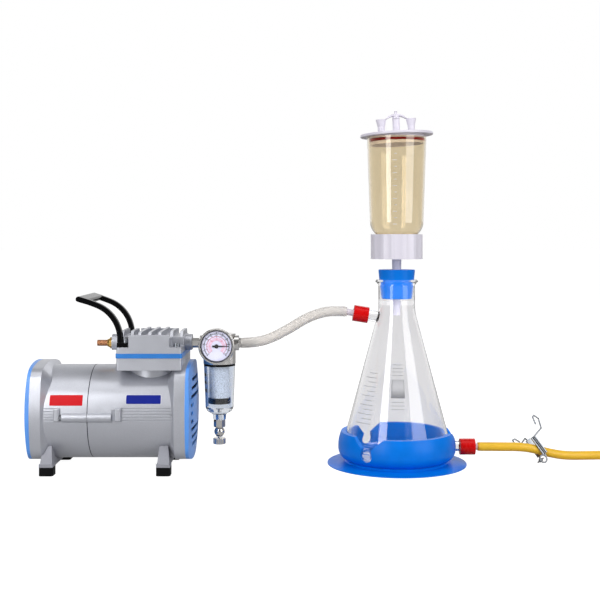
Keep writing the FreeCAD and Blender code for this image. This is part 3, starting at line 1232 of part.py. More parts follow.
def vent_strap():
    """Arched strap over the ports that carries the centre port's plug and a pull nub."""
    half = 13.0
    low = LID_T + LID_PORT_H + 0.3
    rise = 4.2
    outer = Part.Arc(V(-half, 0, low), V(0, 0, low + rise + 1.6), V(half, 0, low))
    inner = Part.Arc(V(half - 1.8, 0, low), V(0, 0, low + rise - 0.8), V(-half + 1.8, 0, low))
    edges = [outer.toShape(), Part.makeLine(V(half, 0, low), V(half - 1.8, 0, low)), inner.toShape(),
             Part.makeLine(V(-half + 1.8, 0, low), V(-half, 0, low))]
    strap = Part.Face(Part.Wire(edges)).extrude(V(0, 8, 0))
    strap.translate(V(0, -4, 0))
    strap = strap.fuse(rod(V(0, 0, low - 4), Z_AXIS, LID_PORT_R - 1.4 - SEAT, rise + 4.2))
    strap = strap.fuse(rod(V(0, 0, low), Z_AXIS, LID_PORT_R, rise))
    strap = strap.fuse(rod(V(0, 0, low + rise), Z_AXIS, 1.8, 5.2))
    return seat_lid(strap)


# ---------------------------------------------------------------- pinch clamp

CLAMP_HALF_GAP = DRAIN_HOSE_D / 2 + GAP
CLAMP_WIRE_Y = CLAMP_HALF_GAP + CLAMP_WIRE_R + 0.6
CLAMP_TOP = CLAMP_LIFT + CLAMP_BAR_L / 2
CLAMP_LOW = CLAMP_LIFT - CLAMP_BAR_L / 2
CLAMP_PIVOT = V(-6.6, 0, -10.2)


def clamp_placement():
    """The clamp's own frame: z up the slanted bars, y behind the hose."""
    before, after = DRAIN_HOSE_POINTS[2], DRAIN_HOSE_POINTS[3]
    along = (after - before).normalize()
    behind = (Y_AXIS - along * Y_AXIS.dot(along)).normalize()
    slant = FreeCAD.Rotation(behind, CLAMP_SLANT)
    lean = FreeCAD.Rotation(along, CLAMP_LEAN)
    across = lean.multVec(slant.multVec(along))
    up = lean.multVec(slant.multVec(along.cross(behind)))
    turn = FreeCAD.Rotation(across, lean.multVec(behind), up, "XYZ")
    return FreeCAD.Placement(before + (after - before) * CLAMP_PLACE, turn)


def wire_path(points):
    """Bent wire through corners, rounded at each by a small ball joint."""
    solid = None
    for a, b in zip(points, points[1:]):
        run = rod(a, (b - a).normalize(), CLAMP_WIRE_R, (b - a).Length)
        solid = run if solid is None else solid.fuse(run)
        solid = solid.fuse(Part.makeSphere(CLAMP_WIRE_R, b))
    return solid


def clamp_bar(side):
    """Channel-shaped jaw bar on one side of the hose."""
    y_in = side * CLAMP_HALF_GAP
    y_out = side * (CLAMP_HALF_GAP + CLAMP_BAR_T)
    half = CLAMP_BAR_W / 2
    bar = box(-half, half, min(y_in, y_out), max(y_in, y_out), CLAMP_LOW, CLAMP_TOP)
    channel = box(-half + 1.4, half - 1.4, min(y_in, y_out) + side, max(y_in, y_out) + side,
                  CLAMP_LOW - 1, CLAMP_TOP + 1)
    return bar.cut(channel)


def clamp_front_jaw():
    """Front bar with the hook above, the round loop below and the hinge pin behind the loop."""
    y = -CLAMP_WIRE_Y
    hook = [V(0, y, CLAMP_LOW), V(0, y, CLAMP_TOP - 1), V(17, y, CLAMP_TOP + 2), V(22, y, CLAMP_TOP + 13),
            V(19.5, y, CLAMP_TOP + 19), V(16.5, y, CLAMP_TOP + 18.5), V(14, y, CLAMP_TOP + 10)]
    centre = V(CLAMP_PIVOT.x, y, CLAMP_PIVOT.z)
    turns = [2 * math.pi * i / CLAMP_LOOP_SIDES for i in range(CLAMP_LOOP_SIDES + 1)]
    loop = [centre + V(math.cos(a), 0, math.sin(a)) * CLAMP_LOOP_R for a in turns]
    across = V(CLAMP_LOOP_R, 0, 0)
    pin = [centre - across, CLAMP_PIVOT - across, CLAMP_PIVOT + across]
    jaw = clamp_bar(-1).fuse(wire_path(hook)).fuse(wire_path([V(0, y, CLAMP_LOW)] + loop)).fuse(wire_path(pin))
    jaw.Placement = clamp_placement()
    return jaw


def clamp_rear_jaw():
    """Rear bar that swings on the front wire's pin, with the finger loops at its side."""
    y = CLAMP_WIRE_Y
    eye_r = 2.2
    eye_w = 3.0
    clear_r = CLAMP_WIRE_R + FIT
    spine = [V(0, y, CLAMP_TOP - 3), V(0, y, CLAMP_LOW), CLAMP_PIVOT + V(0, eye_r, 0)]
    far_y = y + 3.0             # the loop splays away from the hose
    finger = [V(0, y, CLAMP_TOP - 3), V(-1.5, y, CLAMP_TOP + 3), V(-17, far_y, CLAMP_TOP - 1.5),
              V(-15.5, far_y, CLAMP_TOP + 10), V(-12, far_y, CLAMP_TOP + 9.5), V(-9, far_y, CLAMP_TOP + 4),
              V(-11, far_y, CLAMP_TOP - 6), V(0, y, CLAMP_LIFT)]
    eye = rod(CLAMP_PIVOT - V(eye_w / 2, 0, 0), X_AXIS, eye_r, eye_w)
    jaw = clamp_bar(1).fuse(wire_path(spine)).fuse(wire_path(finger)).fuse(eye)
    jaw = jaw.cut(rod(CLAMP_PIVOT - V(2 * CLAMP_LOOP_R, 0, 0), X_AXIS, clear_r, 4 * CLAMP_LOOP_R))
    jaw.Placement = clamp_placement()
    return jaw


# ---------------------------------------------------------------- write all pieces

def main():
    pieces = {
        "motor_housing": motor_housing(),
        "crankcase_housing": crankcase_housing(),
        "fan_cover_left": fan_cover().mirror(V((LEFT_END_X + RIGHT_END_X) / 2, 0, 0), X_AXIS),
        "fan_cover_right": fan_cover(),
        "foot_bracket_left": foot_bracket(LEFT_FOOT_X),
        "foot_bracket_right": foot_bracket(RIGHT_FOOT_X),
        "rubber_feet": rubber_feet(),
        "tie_bolts": tie_bolts(),
        "power_switch": power_switch(),
        "cable_gland": cable_gland(),
        "stator": stator(),
        "rotor": rotor(),
        "motor_bearings": motor_bearings(),
        "fan_left": fan(SHAFT_LEFT_X - 0.5),
        "fan_right": fan(SHAFT_RIGHT_X - FAN_W + 0.5),
        "eccentric": eccentric(),
        "crank_bearing": crank_bearing(),
        "connecting_rod": connecting_rod(),
        "piston_seal": piston_seal(),
        "cylinder_block": cylinder_block(),
        "cylinder_sleeve": cylinder_sleeve(),
        "valve_plate": valve_plate(),
        "reed_valves": reed_valves(),
        "cylinder_head": cylinder_head(),
        "head_bolts": head_bolts(),
        "carry_handle": carry_handle(),
        "silencer_body": silencer_body(),
        "silencer_element": silencer_element(),
        "inlet_nipple": inlet_nipple(),
        "trap_head": trap_head(),
        "gauge_case": gauge_case(),
        "gauge_dial": gauge_dial(),
        "gauge_needle": gauge_needle(),
        "gauge_lens": gauge_lens(),
        "trap_bowl": trap_bowl(),
        "bowl_seal": bowl_seal(),
        "filter_element": filter_element(),
        "filter_baffle": filter_baffle(),
        "drain_valve_body": drain_valve_body(),
        "drain_knob": drain_knob(),
        "hose_barb": hose_barb(),
        "vacuum_hose": tube_along(VAC_HOSE_POINTS, VAC_HOSE_D / 2, "vacuum_hose"),
        "side_connector": connector(SIDE_CAP_MIDDLE, ARM_DIR),
        "side_cap": screw_cap(SIDE_CAP_MIDDLE, ARM_DIR),
        "flask": flask(),
        "flask_base": flask_base(),
        "stopper": stopper(),
        "drain_connector": connector(OUTLET_CAP_MIDDLE, X_AXIS),
        "drain_cap": screw_cap(OUTLET_CAP_MIDDLE, X_AXIS),
        "drain_hose": tube_along(DRAIN_HOSE_POINTS, DRAIN_HOSE_D / 2, "drain_hose"),
        "clamp_front_jaw": clamp_front_jaw(),
        "clamp_rear_jaw": clamp_rear_jaw(),
        "funnel_base": funnel_base(),
        "locking_collar": locking_collar(),
        "support_screen": support_screen(),
        "funnel_gasket": funnel_gasket(),
        "funnel_cup": funnel_cup(),
        "funnel_lid": funnel_lid(),
        "lid_o_ring": lid_o_ring(),
        "vent_strap": vent_strap(),
    }
    for name, shape in pieces.items():
        export(name, shape)
        print(name, len(shape.Solids), "solid(s)", "valid" if shape.isValid() else "NOT VALID")


main()
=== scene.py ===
"""Looks for the vacuum filtration unit: camera, light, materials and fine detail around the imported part.

Everything is in metres in the part's own frame, except where a name or a comment says mm.
"""

import json
import math

import bmesh
import bpy
from mathutils import Matrix, Vector
from mathutils.bvhtree import BVHTree


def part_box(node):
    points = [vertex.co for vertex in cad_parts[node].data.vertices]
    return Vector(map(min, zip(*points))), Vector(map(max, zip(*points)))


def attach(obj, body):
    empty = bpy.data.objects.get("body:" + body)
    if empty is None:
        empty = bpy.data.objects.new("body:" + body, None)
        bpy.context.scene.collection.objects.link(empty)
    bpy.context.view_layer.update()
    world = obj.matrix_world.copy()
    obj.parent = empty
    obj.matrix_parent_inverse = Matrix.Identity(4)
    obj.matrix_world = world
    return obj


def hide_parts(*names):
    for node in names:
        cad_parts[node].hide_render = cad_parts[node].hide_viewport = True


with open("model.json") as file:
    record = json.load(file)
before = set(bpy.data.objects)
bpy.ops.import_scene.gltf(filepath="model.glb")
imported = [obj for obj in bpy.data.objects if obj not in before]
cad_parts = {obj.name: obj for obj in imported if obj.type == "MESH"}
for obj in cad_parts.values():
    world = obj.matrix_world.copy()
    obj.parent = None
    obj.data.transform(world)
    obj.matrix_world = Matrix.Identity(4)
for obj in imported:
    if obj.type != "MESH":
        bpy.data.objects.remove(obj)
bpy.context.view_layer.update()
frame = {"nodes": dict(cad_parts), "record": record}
NODES = frame["nodes"]
MM = 0.001
scene = bpy.context.scene


# ---------------------------------------------------------------- camera

CAMERA_PLACE = (-0.116, -1.254, 0.265)
LENS_MM = 62.7
SENSOR_MM = 36.0
SHIFT_DOWN = 0.09667       # how far the horizon is above the frame's middle, as a share of the frame


def make_camera():
    data = bpy.data.cameras.new("camera")
    data.lens = LENS_MM
    data.sensor_width = SENSOR_MM
    data.shift_y = -SHIFT_DOWN
    camera = bpy.data.objects.new("camera", data)
    camera.location = CAMERA_PLACE
    camera.rotation_euler = (math.radians(90), 0, 0)
    scene.collection.objects.link(camera)
    scene.camera = camera


make_camera()


# ---------------------------------------------------------------- cords

# routes, diameters and bores in mm, lengths in metres
VAC_HOSE_D = 12.0
VAC_HOSE_BORE = 8.0
VAC_HOSE_POINTS = [
    (-186, -20, 146), (-170, -20, 146.2), (-152, -19, 150.5), (-130, -13, 161.3),
    (-109, -7, 174), (-92, -3, 180.2), (-76, -0.7, 182.6), (-60, 0, 181.6),
]
DRAIN_HOSE_D = 10.5
DRAIN_HOSE_BORE = 6.5
DRAIN_HOSE_POINTS = [
    (97, 0, 19.6), (124, 0.5, 19.3), (156, 3, 18.6), (184, 8, 10.5), (206, 13, 6.0), (236, 18, 5.4),
    (270, 21, 5.4), (302, 19, 5.4), (330, 12, 5.4), (354, 1, 5.4), (372, -14, 5.4),
]
CURVE_STEPS = 14
TUBE_SIDES = 40
RIM_SHARE = 0.06            # how much of its diameter a tube loses at its rounded rim


def link(obj):
    scene.collection.objects.link(obj)
    return obj


def mesh_object(name, bm, smooth=True):
    """Object from a bmesh, which is freed."""
    bmesh.ops.recalc_face_normals(bm, faces=bm.faces)
    mesh = bpy.data.meshes.new(name)
    bm.to_mesh(mesh)
    bm.free()
    for face in mesh.polygons:
        face.use_smooth = smooth
    return link(bpy.data.objects.new(name, mesh))


def spline_points(points_mm):
    """Points in metres along the NURBS spline whose control points are given."""
    data = bpy.data.curves.new("route", "CURVE")
    data.dimensions = "3D"
    data.resolution_u = CURVE_STEPS
    spline = data.splines.new("NURBS")
    spline.points.add(len(points_mm) - 1)
    for point, place in zip(spline.points, points_mm):
        point.co = (*[c * MM for c in place], 1)
    spline.order_u = 3
    spline.use_endpoint_u = True
    route = link(bpy.data.objects.new("route", data))
    mesh = bpy.data.meshes.new_from_object(route)
    points = [v.co.copy() for v in mesh.vertices]
    bpy.data.objects.remove(route)
    bpy.data.curves.remove(data)
    bpy.data.meshes.remove(mesh)
    return points


def sweep_frames(points):
    """Two directions across the path at each of its points, turning as little as they can."""
    frames = []
    side = None
    for i, point in enumerate(points):
        ahead = points[min(i + 1, len(points) - 1)] - points[max(i - 1, 0)]
        ahead.normalize()
        side = ahead.orthogonal() if side is None else side - ahead * side.dot(ahead)
        side.normalize()
        frames.append((side.copy(), ahead.cross(side)))
    return frames


def hollow_tube(name, points, outer_d, bore_d):
    """Tube with a bore, cut square at both ends with slightly rounded rims."""
    bm = bmesh.new()
    frames = sweep_frames(points)
    ends = (0, len(points) - 1)
    rim = RIM_SHARE * outer_d
    angles = [2 * math.pi * k / TUBE_SIDES for k in range(TUBE_SIDES)]
    walls = []
    for diameter, end_change in ((outer_d, -rim), (bore_d, rim)):
        lines = []
        for i, (point, (side, up)) in enumerate(zip(points, frames)):
            radius = (diameter + (end_change if i in ends else 0)) / 2 * MM
            lines.append([bm.verts.new(point + radius * (math.cos(a) * side + math.sin(a) * up))
                          for a in angles])
        walls.append(lines)
    loop = walls[0] + walls[1][::-1]
    for first, second in zip(loop, loop[1:] + loop[:1]):
        for k in range(TUBE_SIDES):
            after = (k + 1) % TUBE_SIDES
            bm.faces.new((first[k], first[after], second[after], second[k]))
    return mesh_object(name, bm)


def make_tube(name, points_mm, outer_d, bore_d, cad_node):
    """Hollow hose along its route, and the points that it follows."""
    points = spline_points(points_mm)
    tube = hollow_tube(name, points, outer_d, bore_d)
    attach(tube, "base")
    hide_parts(cad_node)
    return tube, [tuple(p) for p in points]


vacuum_tube, vacuum_route = make_tube("vacuum_tube", VAC_HOSE_POINTS, VAC_HOSE_D, VAC_HOSE_BORE,
                                      "vacuum_hose")
drain_tube, drain_route = make_tube("drain_tube", DRAIN_HOSE_POINTS, DRAIN_HOSE_D, DRAIN_HOSE_BORE,
                                    "drain_hose")


# ---------------------------------------------------------------- node helpers

def put(tree, kind, inputs=None, **settings):
    """A new shader node with its settings, and inputs given as values or as sockets to link."""
    made = tree.nodes.new("ShaderNode" + kind)
    for key, value in settings.items():
        setattr(made, key, value)
    for key, value in (inputs or {}).items():
        if isinstance(value, bpy.types.NodeSocket):
            tree.links.new(value, made.inputs[key])
        else:
            made.inputs[key].default_value = value
    return made


def calculate(tree, operation, *values):
    """The result of one Math node."""
    return put(tree, "Math", dict(enumerate(values)), operation=operation).outputs[0]


def spread(tree, value, low, high, from_low=0.3, from_high=0.7):
    """value taken from one range to another."""
    return put(tree, "MapRange", {"Value": value, "From Min": from_low, "From Max": from_high,
                                  "To Min": low, "To Max": high}).outputs["Result"]


def by_ray(tree, camera, mirror, through, other):
    """One of four levels: for rays from the camera, in reflections, through glass, and the rest.

    A ray bent by glass counts as glossy too, so the level for glass is put in after the mirrors' one.
    """
    path = put(tree, "LightPath")
    level = other
    levels = {"Is Glossy Ray": mirror, "Is Transmission Ray": through, "Is Camera Ray": camera}
    for kind, value in levels.items():
        level = put(tree, "Mix", {"Factor": path.outputs[kind], "A": level, "B": value}).outputs["Result"]
    return level


# ---------------------------------------------------------------- studio

WORLD_LIGHT = 0.21          # how strongly the surroundings light the object
BACKDROP = 0.92             # the pale wall that glass and mirrors show behind the object
ROOM_DARK = 0.13            # what mirrors show beside and in front of it
ROOM_PALE = 0.38            # what mirrors show overhead
FLOOR_REACH = 30.0
FLOOR_DROP = 0.0002         # keeps the floor clear of the undersides that stand on it
FLOOR_PAPER = 0.36          # how pale the floor is where a shadow falls
FLOOR_PAPER_IN_GLASS = 0.108
FLOOR_WHITE = 0.95          # lifts the seen floor to white where no shadow falls
FLOOR_IN_MIRRORS = 0.22
FLOOR_IN_GLASS = 0.75
# name, place, aim, width, height, watts
LAMPS = [
    ("left_box", (-1.10, -1.40, 0.80), (-0.1, 0, 0.45), 0.62, 1.8, 21.0),
    ("right_box", (1.22, -1.08, 0.80), (-0.1, 0, 0.45), 1.05, 1.8, 21.0),
    ("top_box", (-0.1, -0.45, 1.7), (-0.1, 0, 0.1), 1.8, 0.9, 7.0),
    ("back_box", (0.4, 1.7, 1.2), (0.0, 0, 0.15), 1.0, 1.0, 3.0),
]


def make_world():
    """White for the camera; mirrors see a pale wall behind, a dark room beside and a paler ceiling."""
    world = bpy.data.worlds.new("studio")
    scene.world = world
    world.use_nodes = True
    tree = world.node_tree
    tree.nodes.clear()
    towards = put(tree, "SeparateXYZ", {0: put(tree, "TexCoord").outputs["Generated"]})
    wall_in_mirrors = spread(tree, towards.outputs["Y"], ROOM_DARK, BACKDROP, from_low=0.35, from_high=0.85)
    ceiling = spread(tree, towards.outputs["Z"], 0.0, ROOM_PALE, from_low=0.1, from_high=0.95)
    mirrored = calculate(tree, "MAXIMUM", wall_in_mirrors, ceiling)
    wall_in_glass = spread(tree, towards.outputs["Y"], ROOM_DARK, BACKDROP, from_low=-0.2, from_high=0.6)
    strength = by_ray(tree, 1.0, mirrored, wall_in_glass, WORLD_LIGHT)
    ground = put(tree, "Background", {"Color": (1, 1, 1, 1), "Strength": strength})
    out = put(tree, "OutputWorld")
    tree.links.new(ground.outputs[0], out.inputs["Surface"])


def make_lamps():
    for name, place, aim, width, height, watts in LAMPS:
        data = bpy.data.lights.new(name, "AREA")
        data.shape = "RECTANGLE"
        data.size = width
        data.size_y = height
        data.energy = watts
        lamp = link(bpy.data.objects.new(name, data))
        lamp.location = place
        lamp.rotation_euler = (Vector(aim) - Vector(place)).to_track_quat("-Z", "Y").to_euler()
        lamp.visible_camera = False


def make_floor():
    """Paper floor that takes shadows, with a glow that brings its open parts up to white."""
    bm = bmesh.new()
    bmesh.ops.create_grid(bm, x_segments=8, y_segments=8, size=FLOOR_REACH)
    floor = mesh_object("floor", bm)
    floor.location.z = -FLOOR_DROP
    material = bpy.data.materials.new("floor")
    material.use_nodes = True
    tree = material.node_tree
    tree.nodes.clear()
    grey = by_ray(tree, FLOOR_PAPER, FLOOR_PAPER, FLOOR_PAPER_IN_GLASS, FLOOR_PAPER)
    paper = put(tree, "BsdfDiffuse", {"Color": grey})
    lift = by_ray(tree, FLOOR_WHITE, FLOOR_IN_MIRRORS, FLOOR_IN_GLASS, 0.0)
    glow = put(tree, "Emission", {"Strength": lift})
    both = put(tree, "AddShader", {0: paper.outputs[0], 1: glow.outputs[0]})
    out = put(tree, "OutputMaterial")
    tree.links.new(both.outputs[0], out.inputs["Surface"])
    floor.data.materials.append(material)


make_world()
make_lamps()
make_floor()
scene.view_settings.view_transform = "Standard"


# ---------------------------------------------------------------- material helpers

EDGE_SAMPLES = 4            # rays that find how round an edge should look
# where a Mix node keeps its sockets when it mixes colours
MIX_FACTOR = 0
MIX_FIRST = 6
MIX_SECOND = 7
MIX_RESULT = 2


def new_material(name, colour, roughness, metallic=0.0, **sockets):
    """Material with a Principled shader. sockets are its other constant inputs, such as IOR=1.5."""
    material = bpy.data.materials.new(name)
    material.use_nodes = True
    shader = material.node_tree.nodes["Principled BSDF"]
    shader.inputs["Base Color"].default_value = (*colour, 1)
    shader.inputs["Roughness"].default_value = roughness
    shader.inputs["Metallic"].default_value = metallic
    for key, value in sockets.items():
        shader.inputs[key.replace("_", " ")].default_value = value
    return material, material.node_tree, shader


def place_on(tree, stretch=(1, 1, 1), centre=(0, 0, 0)):
    """The point on the object, in metres, with each axis multiplied by stretch about centre."""
    coord = put(tree, "TexCoord").outputs["Object"]
    moved = put(tree, "VectorMath", {0: coord, 1: centre}, operation="SUBTRACT").outputs[0]
    return put(tree, "VectorMath", {0: moved, 1: stretch}, operation="MULTIPLY").outputs[0]


def noise(tree, scale, detail=2.0, roughness=0.5, place=None):
    """Soft random pattern from 0 to 1 with about scale features a metre."""
    if place is None:
        place = place_on(tree)
    return put(tree, "TexNoise", {"Vector": place, "Scale": scale, "Detail": detail,
                                  "Roughness": roughness}).outputs["Fac"]


def blend_colours(tree, factor, first, second):
    """The first colour where factor is 0 and the second where it is 1. Each is a value or a socket."""
    made = tree.nodes.new("ShaderNodeMix")
    made.data_type = "RGBA"
    for key, value in ((MIX_FACTOR, factor), (MIX_FIRST, first), (MIX_SECOND, second)):
        if isinstance(value, bpy.types.NodeSocket):
            tree.links.new(value, made.inputs[key])
        else:
            made.inputs[key].default_value = value if key == MIX_FACTOR else (*value, 1)
    return made.outputs[MIX_RESULT]


def shade(colour, factor):
    """The colour made darker, or paler up to white."""
    return tuple(min(1.0, c * factor) for c in colour)


def whiten(colour, share):
    """The colour taken this share of the way to white."""
    return tuple(c + (1 - c) * share for c in colour)


def set_looks(tree, shader, colour, roughness):
    """Links a colour pattern and a roughness pattern to the shader."""
    tree.links.new(colour, shader.inputs["Base Color"])
    tree.links.new(roughness, shader.inputs["Roughness"])


def bumped(tree, shader, height, distance, strength=1.0, normal=None):
    """Adds a bump of this distance in metres to the shader, over any earlier normal."""
    made = put(tree, "Bump", {"Height": height, "Distance": distance, "Strength": strength})
    if normal is not None:
        tree.links.new(normal, made.inputs["Normal"])
    tree.links.new(made.outputs[0], shader.inputs["Normal"])


def soft_edges(tree, radius):
    """Normal that rounds sharp edges by radius, in metres."""
    return put(tree, "Bevel", {"Radius": radius}, samples=EDGE_SAMPLES).outputs[0]


def edge_mask(tree, radius):
    """1 along sharp edges and 0 on open faces."""
    rounded = soft_edges(tree, radius)
    flat = put(tree, "NewGeometry").outputs["Normal"]
    agree = put(tree, "VectorMath", {0: rounded, 1: flat}, operation="DOT_PRODUCT").outputs["Value"]
    return spread(tree, agree, 1.0, 0.0, from_low=0.75, from_high=0.99)


def let_lamps_through(tree, shader, tint):
    """Rays from lamps pass through clear pieces with a little tint, so that glass casts a pale shadow."""
    path = put(tree, "LightPath")
    passing = put(tree, "BsdfTransparent", {"Color": (*tint, 1)})
    out = tree.nodes["Material Output"]
    both = put(tree, "MixShader", {0: path.outputs["Is Shadow Ray"], 1: shader.outputs[0],
                                   2: passing.outputs[0]})
    tree.links.new(both.outputs[0], out.inputs["Surface"])


# ---------------------------------------------------------------- kinds of material
# noise scales are features a metre; bump distances and edge radii are metres

def powder_coat(name, colour, metallic=0.6, smoothest=0.29, roughest=0.39):
    """Metallic powder coat on a casting: fine flake, slight orange peel, paler rubbed edges."""
    material, tree, shader = new_material(name, colour, smoothest, metallic)
    flake = spread(tree, noise(tree, 2600, detail=1), 0.0, 1.0, from_low=0.35, from_high=0.68)
    sparkle = blend_colours(tree, flake, shade(colour, 0.9), shade(colour, 1.12))
    cloud = spread(tree, noise(tree, 14, detail=3), 0.0, 0.35)
    body = blend_colours(tree, cloud, sparkle, shade(colour, 0.93))
    rubbed = spread(tree, noise(tree, 120, detail=3), 0.2, 0.9)
    worn = calculate(tree, "MULTIPLY", edge_mask(tree, 0.0006), rubbed)
    set_looks(tree, shader, blend_colours(tree, worn, body, shade(colour, 1.22)),
              spread(tree, noise(tree, 90, detail=3), smoothest, roughest))
    bumped(tree, shader, noise(tree, 900), 0.00006, 0.6, soft_edges(tree, 0.0005))
    return material


def moulded(name, colour, roughness, grain=1500, grain_depth=0.00003, variation=0.06, **sockets):
    """Moulded plastic or rubber: fine grain, faint mottling, and edges made paler by a painted highlight."""
    edge = 0.0003
    material, tree, shader = new_material(name, colour, roughness, **sockets)
    mottle = blend_colours(tree, spread(tree, noise(tree, 60, detail=4), 0.0, 1.0),
                           shade(colour, 1 - variation), shade(colour, 1 + variation))
    # painted highlight: every sharp edge is made paler, as if it caught the light
    pale = calculate(tree, "MULTIPLY", edge_mask(tree, edge), 0.35)
    set_looks(tree, shader, blend_colours(tree, pale, mottle, whiten(colour, 0.18)),
              spread(tree, noise(tree, 240, detail=3), roughness * 0.85, min(1.0, roughness * 1.15)))
    bumped(tree, shader, noise(tree, grain, detail=3), grain_depth, 0.7, soft_edges(tree, edge))
    return material


def turned_metal(name, colour, roughness, stretch, centre=(0, 0, 0), tarnish=0.12):
    """Machined or plated metal, with a painted highlight on its edges. stretch makes the tool marks: large
    along the axis that they cross.
    """
    edge = 0.00025
    material, tree, shader = new_material(name, colour, roughness, 1.0)
    marks = noise(tree, 1.0, roughness=0.6, place=place_on(tree, stretch, centre))
    dull = spread(tree, noise(tree, 45, detail=4), 0.0, 1.0)
    body = blend_colours(tree, dull, shade(colour, 1 - tarnish), shade(colour, 1.04))
    # painted highlight: every sharp edge is made brighter, as if it caught the light
    bright = calculate(tree, "MULTIPLY", edge_mask(tree, edge), 0.5)
    set_looks(tree, shader, blend_colours(tree, bright, body, shade(colour, 1.25)),
              spread(tree, marks, roughness * 0.7, min(1.0, roughness * 1.35)))
    bumped(tree, shader, marks, 0.00002, 0.5, soft_edges(tree, edge))
    return material


def clear(name, colour, roughness, ior, shadow_tint, smudge=0.06):
    """Glass or clear plastic with a faint ripple and handling marks, and a pale shadow."""
    material, tree, shader = new_material(name, colour, roughness, Transmission_Weight=1.0, IOR=ior)
    tint = blend_colours(tree, spread(tree, noise(tree, 25), 0.0, 1.0), shade(colour, 0.985),
                         shade(colour, 1.01))
    handled = noise(tree, 38, detail=5, roughness=0.65)
    set_looks(tree, shader, tint,
              spread(tree, handled, roughness, roughness + smudge, from_low=0.55, from_high=0.8))
    bumped(tree, shader, noise(tree, 55), 0.000012)
    let_lamps_through(tree, shader, shadow_tint)
    return material


def milky(name, colour, roughness, clearness, shadow_tint):
    """Translucent rubber hose: soft and milky, with faint streaks along its length."""
    material, tree, shader = new_material(name, colour, roughness, Transmission_Weight=clearness, IOR=1.41)
    streaks = noise(tree, 1.0, detail=3, roughness=0.6, place=place_on(tree, (60, 900, 900)))
    tint = blend_colours(tree, spread(tree, streaks, 0.0, 1.0), shade(colour, 0.93), shade(colour, 1.05))
    set_looks(tree, shader, tint,
              spread(tree, noise(tree, 130, detail=3), roughness * 0.75, roughness * 1.3))
    bumped(tree, shader, streaks, 0.00004, 0.5)
    let_lamps_through(tree, shader, shadow_tint)
    return material


def granular(name, colour, roughness, metallic, grain, depth):
    """Sintered or porous body: packed grains, with painted shade darkening the gaps between them."""
    material, tree, shader = new_material(name, colour, roughness, metallic)
    grains = put(tree, "TexVoronoi", {"Vector": place_on(tree), "Scale": grain}).outputs["Distance"]
    gaps = spread(tree, grains, 0.0, 1.0, from_low=0.25, from_high=0.75)
    # painted shade: the gaps between the grains are darkened
    body = blend_colours(tree, gaps, shade(colour, 1.1), shade(colour, 0.45))
    tree.links.new(body, shader.inputs["Base Color"])
    bumped(tree, shader, spread(tree, grains, 1.0, 0.0, from_low=0.1, from_high=0.8), depth)
    return material


# ---------------------------------------------------------------- colours and the materials themselves

def screen(red, green, blue):
    """Colour as a screen shows it, 0 to 255, turned into the linear values that shaders take."""
    def linear(value):
        value /= 255
        return value / 12.92 if value <= 0.04045 else ((value + 0.055) / 1.055) ** 2.4
    return tuple(linear(v) for v in (red, green, blue))


SILVER = screen(190, 192, 200)
CAST_GREY = screen(168, 168, 168)
# darker than the housings' silver: painted shade, for the feet's brackets low under the barrel
SHADED_FOOT_GREY = screen(150, 151, 160)
COVER_BLUE = screen(91, 155, 239)
PLATE_BLUE = screen(50, 130, 214)
BASE_BLUE = screen(0, 119, 226)
RUBBER_BLACK = screen(10, 10, 12)
GLOSS_BLACK = screen(6, 6, 8)
FAN_GREY = screen(52, 52, 55)
SEAL_BROWN = screen(120, 104, 78)
WHITE_PLASTIC = screen(223, 219, 231)
DIAL_WHITE = screen(214, 214, 236)
FILTER_WHITE = screen(236, 237, 242)
GASKET_WHITE = screen(224, 224, 220)
RED = screen(206, 2, 4)
SEAL_RED = screen(132, 6, 10)
AMBER = screen(236, 192, 50)
CUP_AMBER = screen(239, 229, 208)
MILKY = screen(231, 228, 225)
BRASS = screen(222, 178, 96)
BRONZE = screen(214, 150, 108)
NICKEL = screen(214, 212, 210)
STEEL = screen(200, 202, 206)
DULL_STEEL = screen(138, 142, 148)
CORE_STEEL = screen(120, 118, 116)
# the clear ones' colours and shadows are shares of the light let through
LENS_CLEAR = (0.99, 0.99, 1.0)
GLASS_CLEAR = (0.985, 0.98, 0.99)
BOWL_TINT = (0.84, 0.88, 0.94)
LENS_SHADOW = (0.96, 0.97, 0.98)
GLASS_SHADOW = (0.9, 0.92, 0.93)
BOWL_SHADOW = (0.84, 0.89, 0.94)
CUP_SHADOW = (0.86, 0.8, 0.66)
MILKY_SHADOW = (0.72, 0.7, 0.68)
AMBER_SHADOW = (0.85, 0.6, 0.2)

TRAP_AXIS = (-0.211, -0.020, 0)
# tool marks: how tightly they lie along x, y and z
TURNED_ON_X = (1600, 90, 90)
TURNED_ON_Z = (70, 70, 1500)
DRAWN_ON_X = (80, 1400, 1400)
ROLLED = (1100, 70, 70)
STACKED_ON_X = (2600, 60, 60)

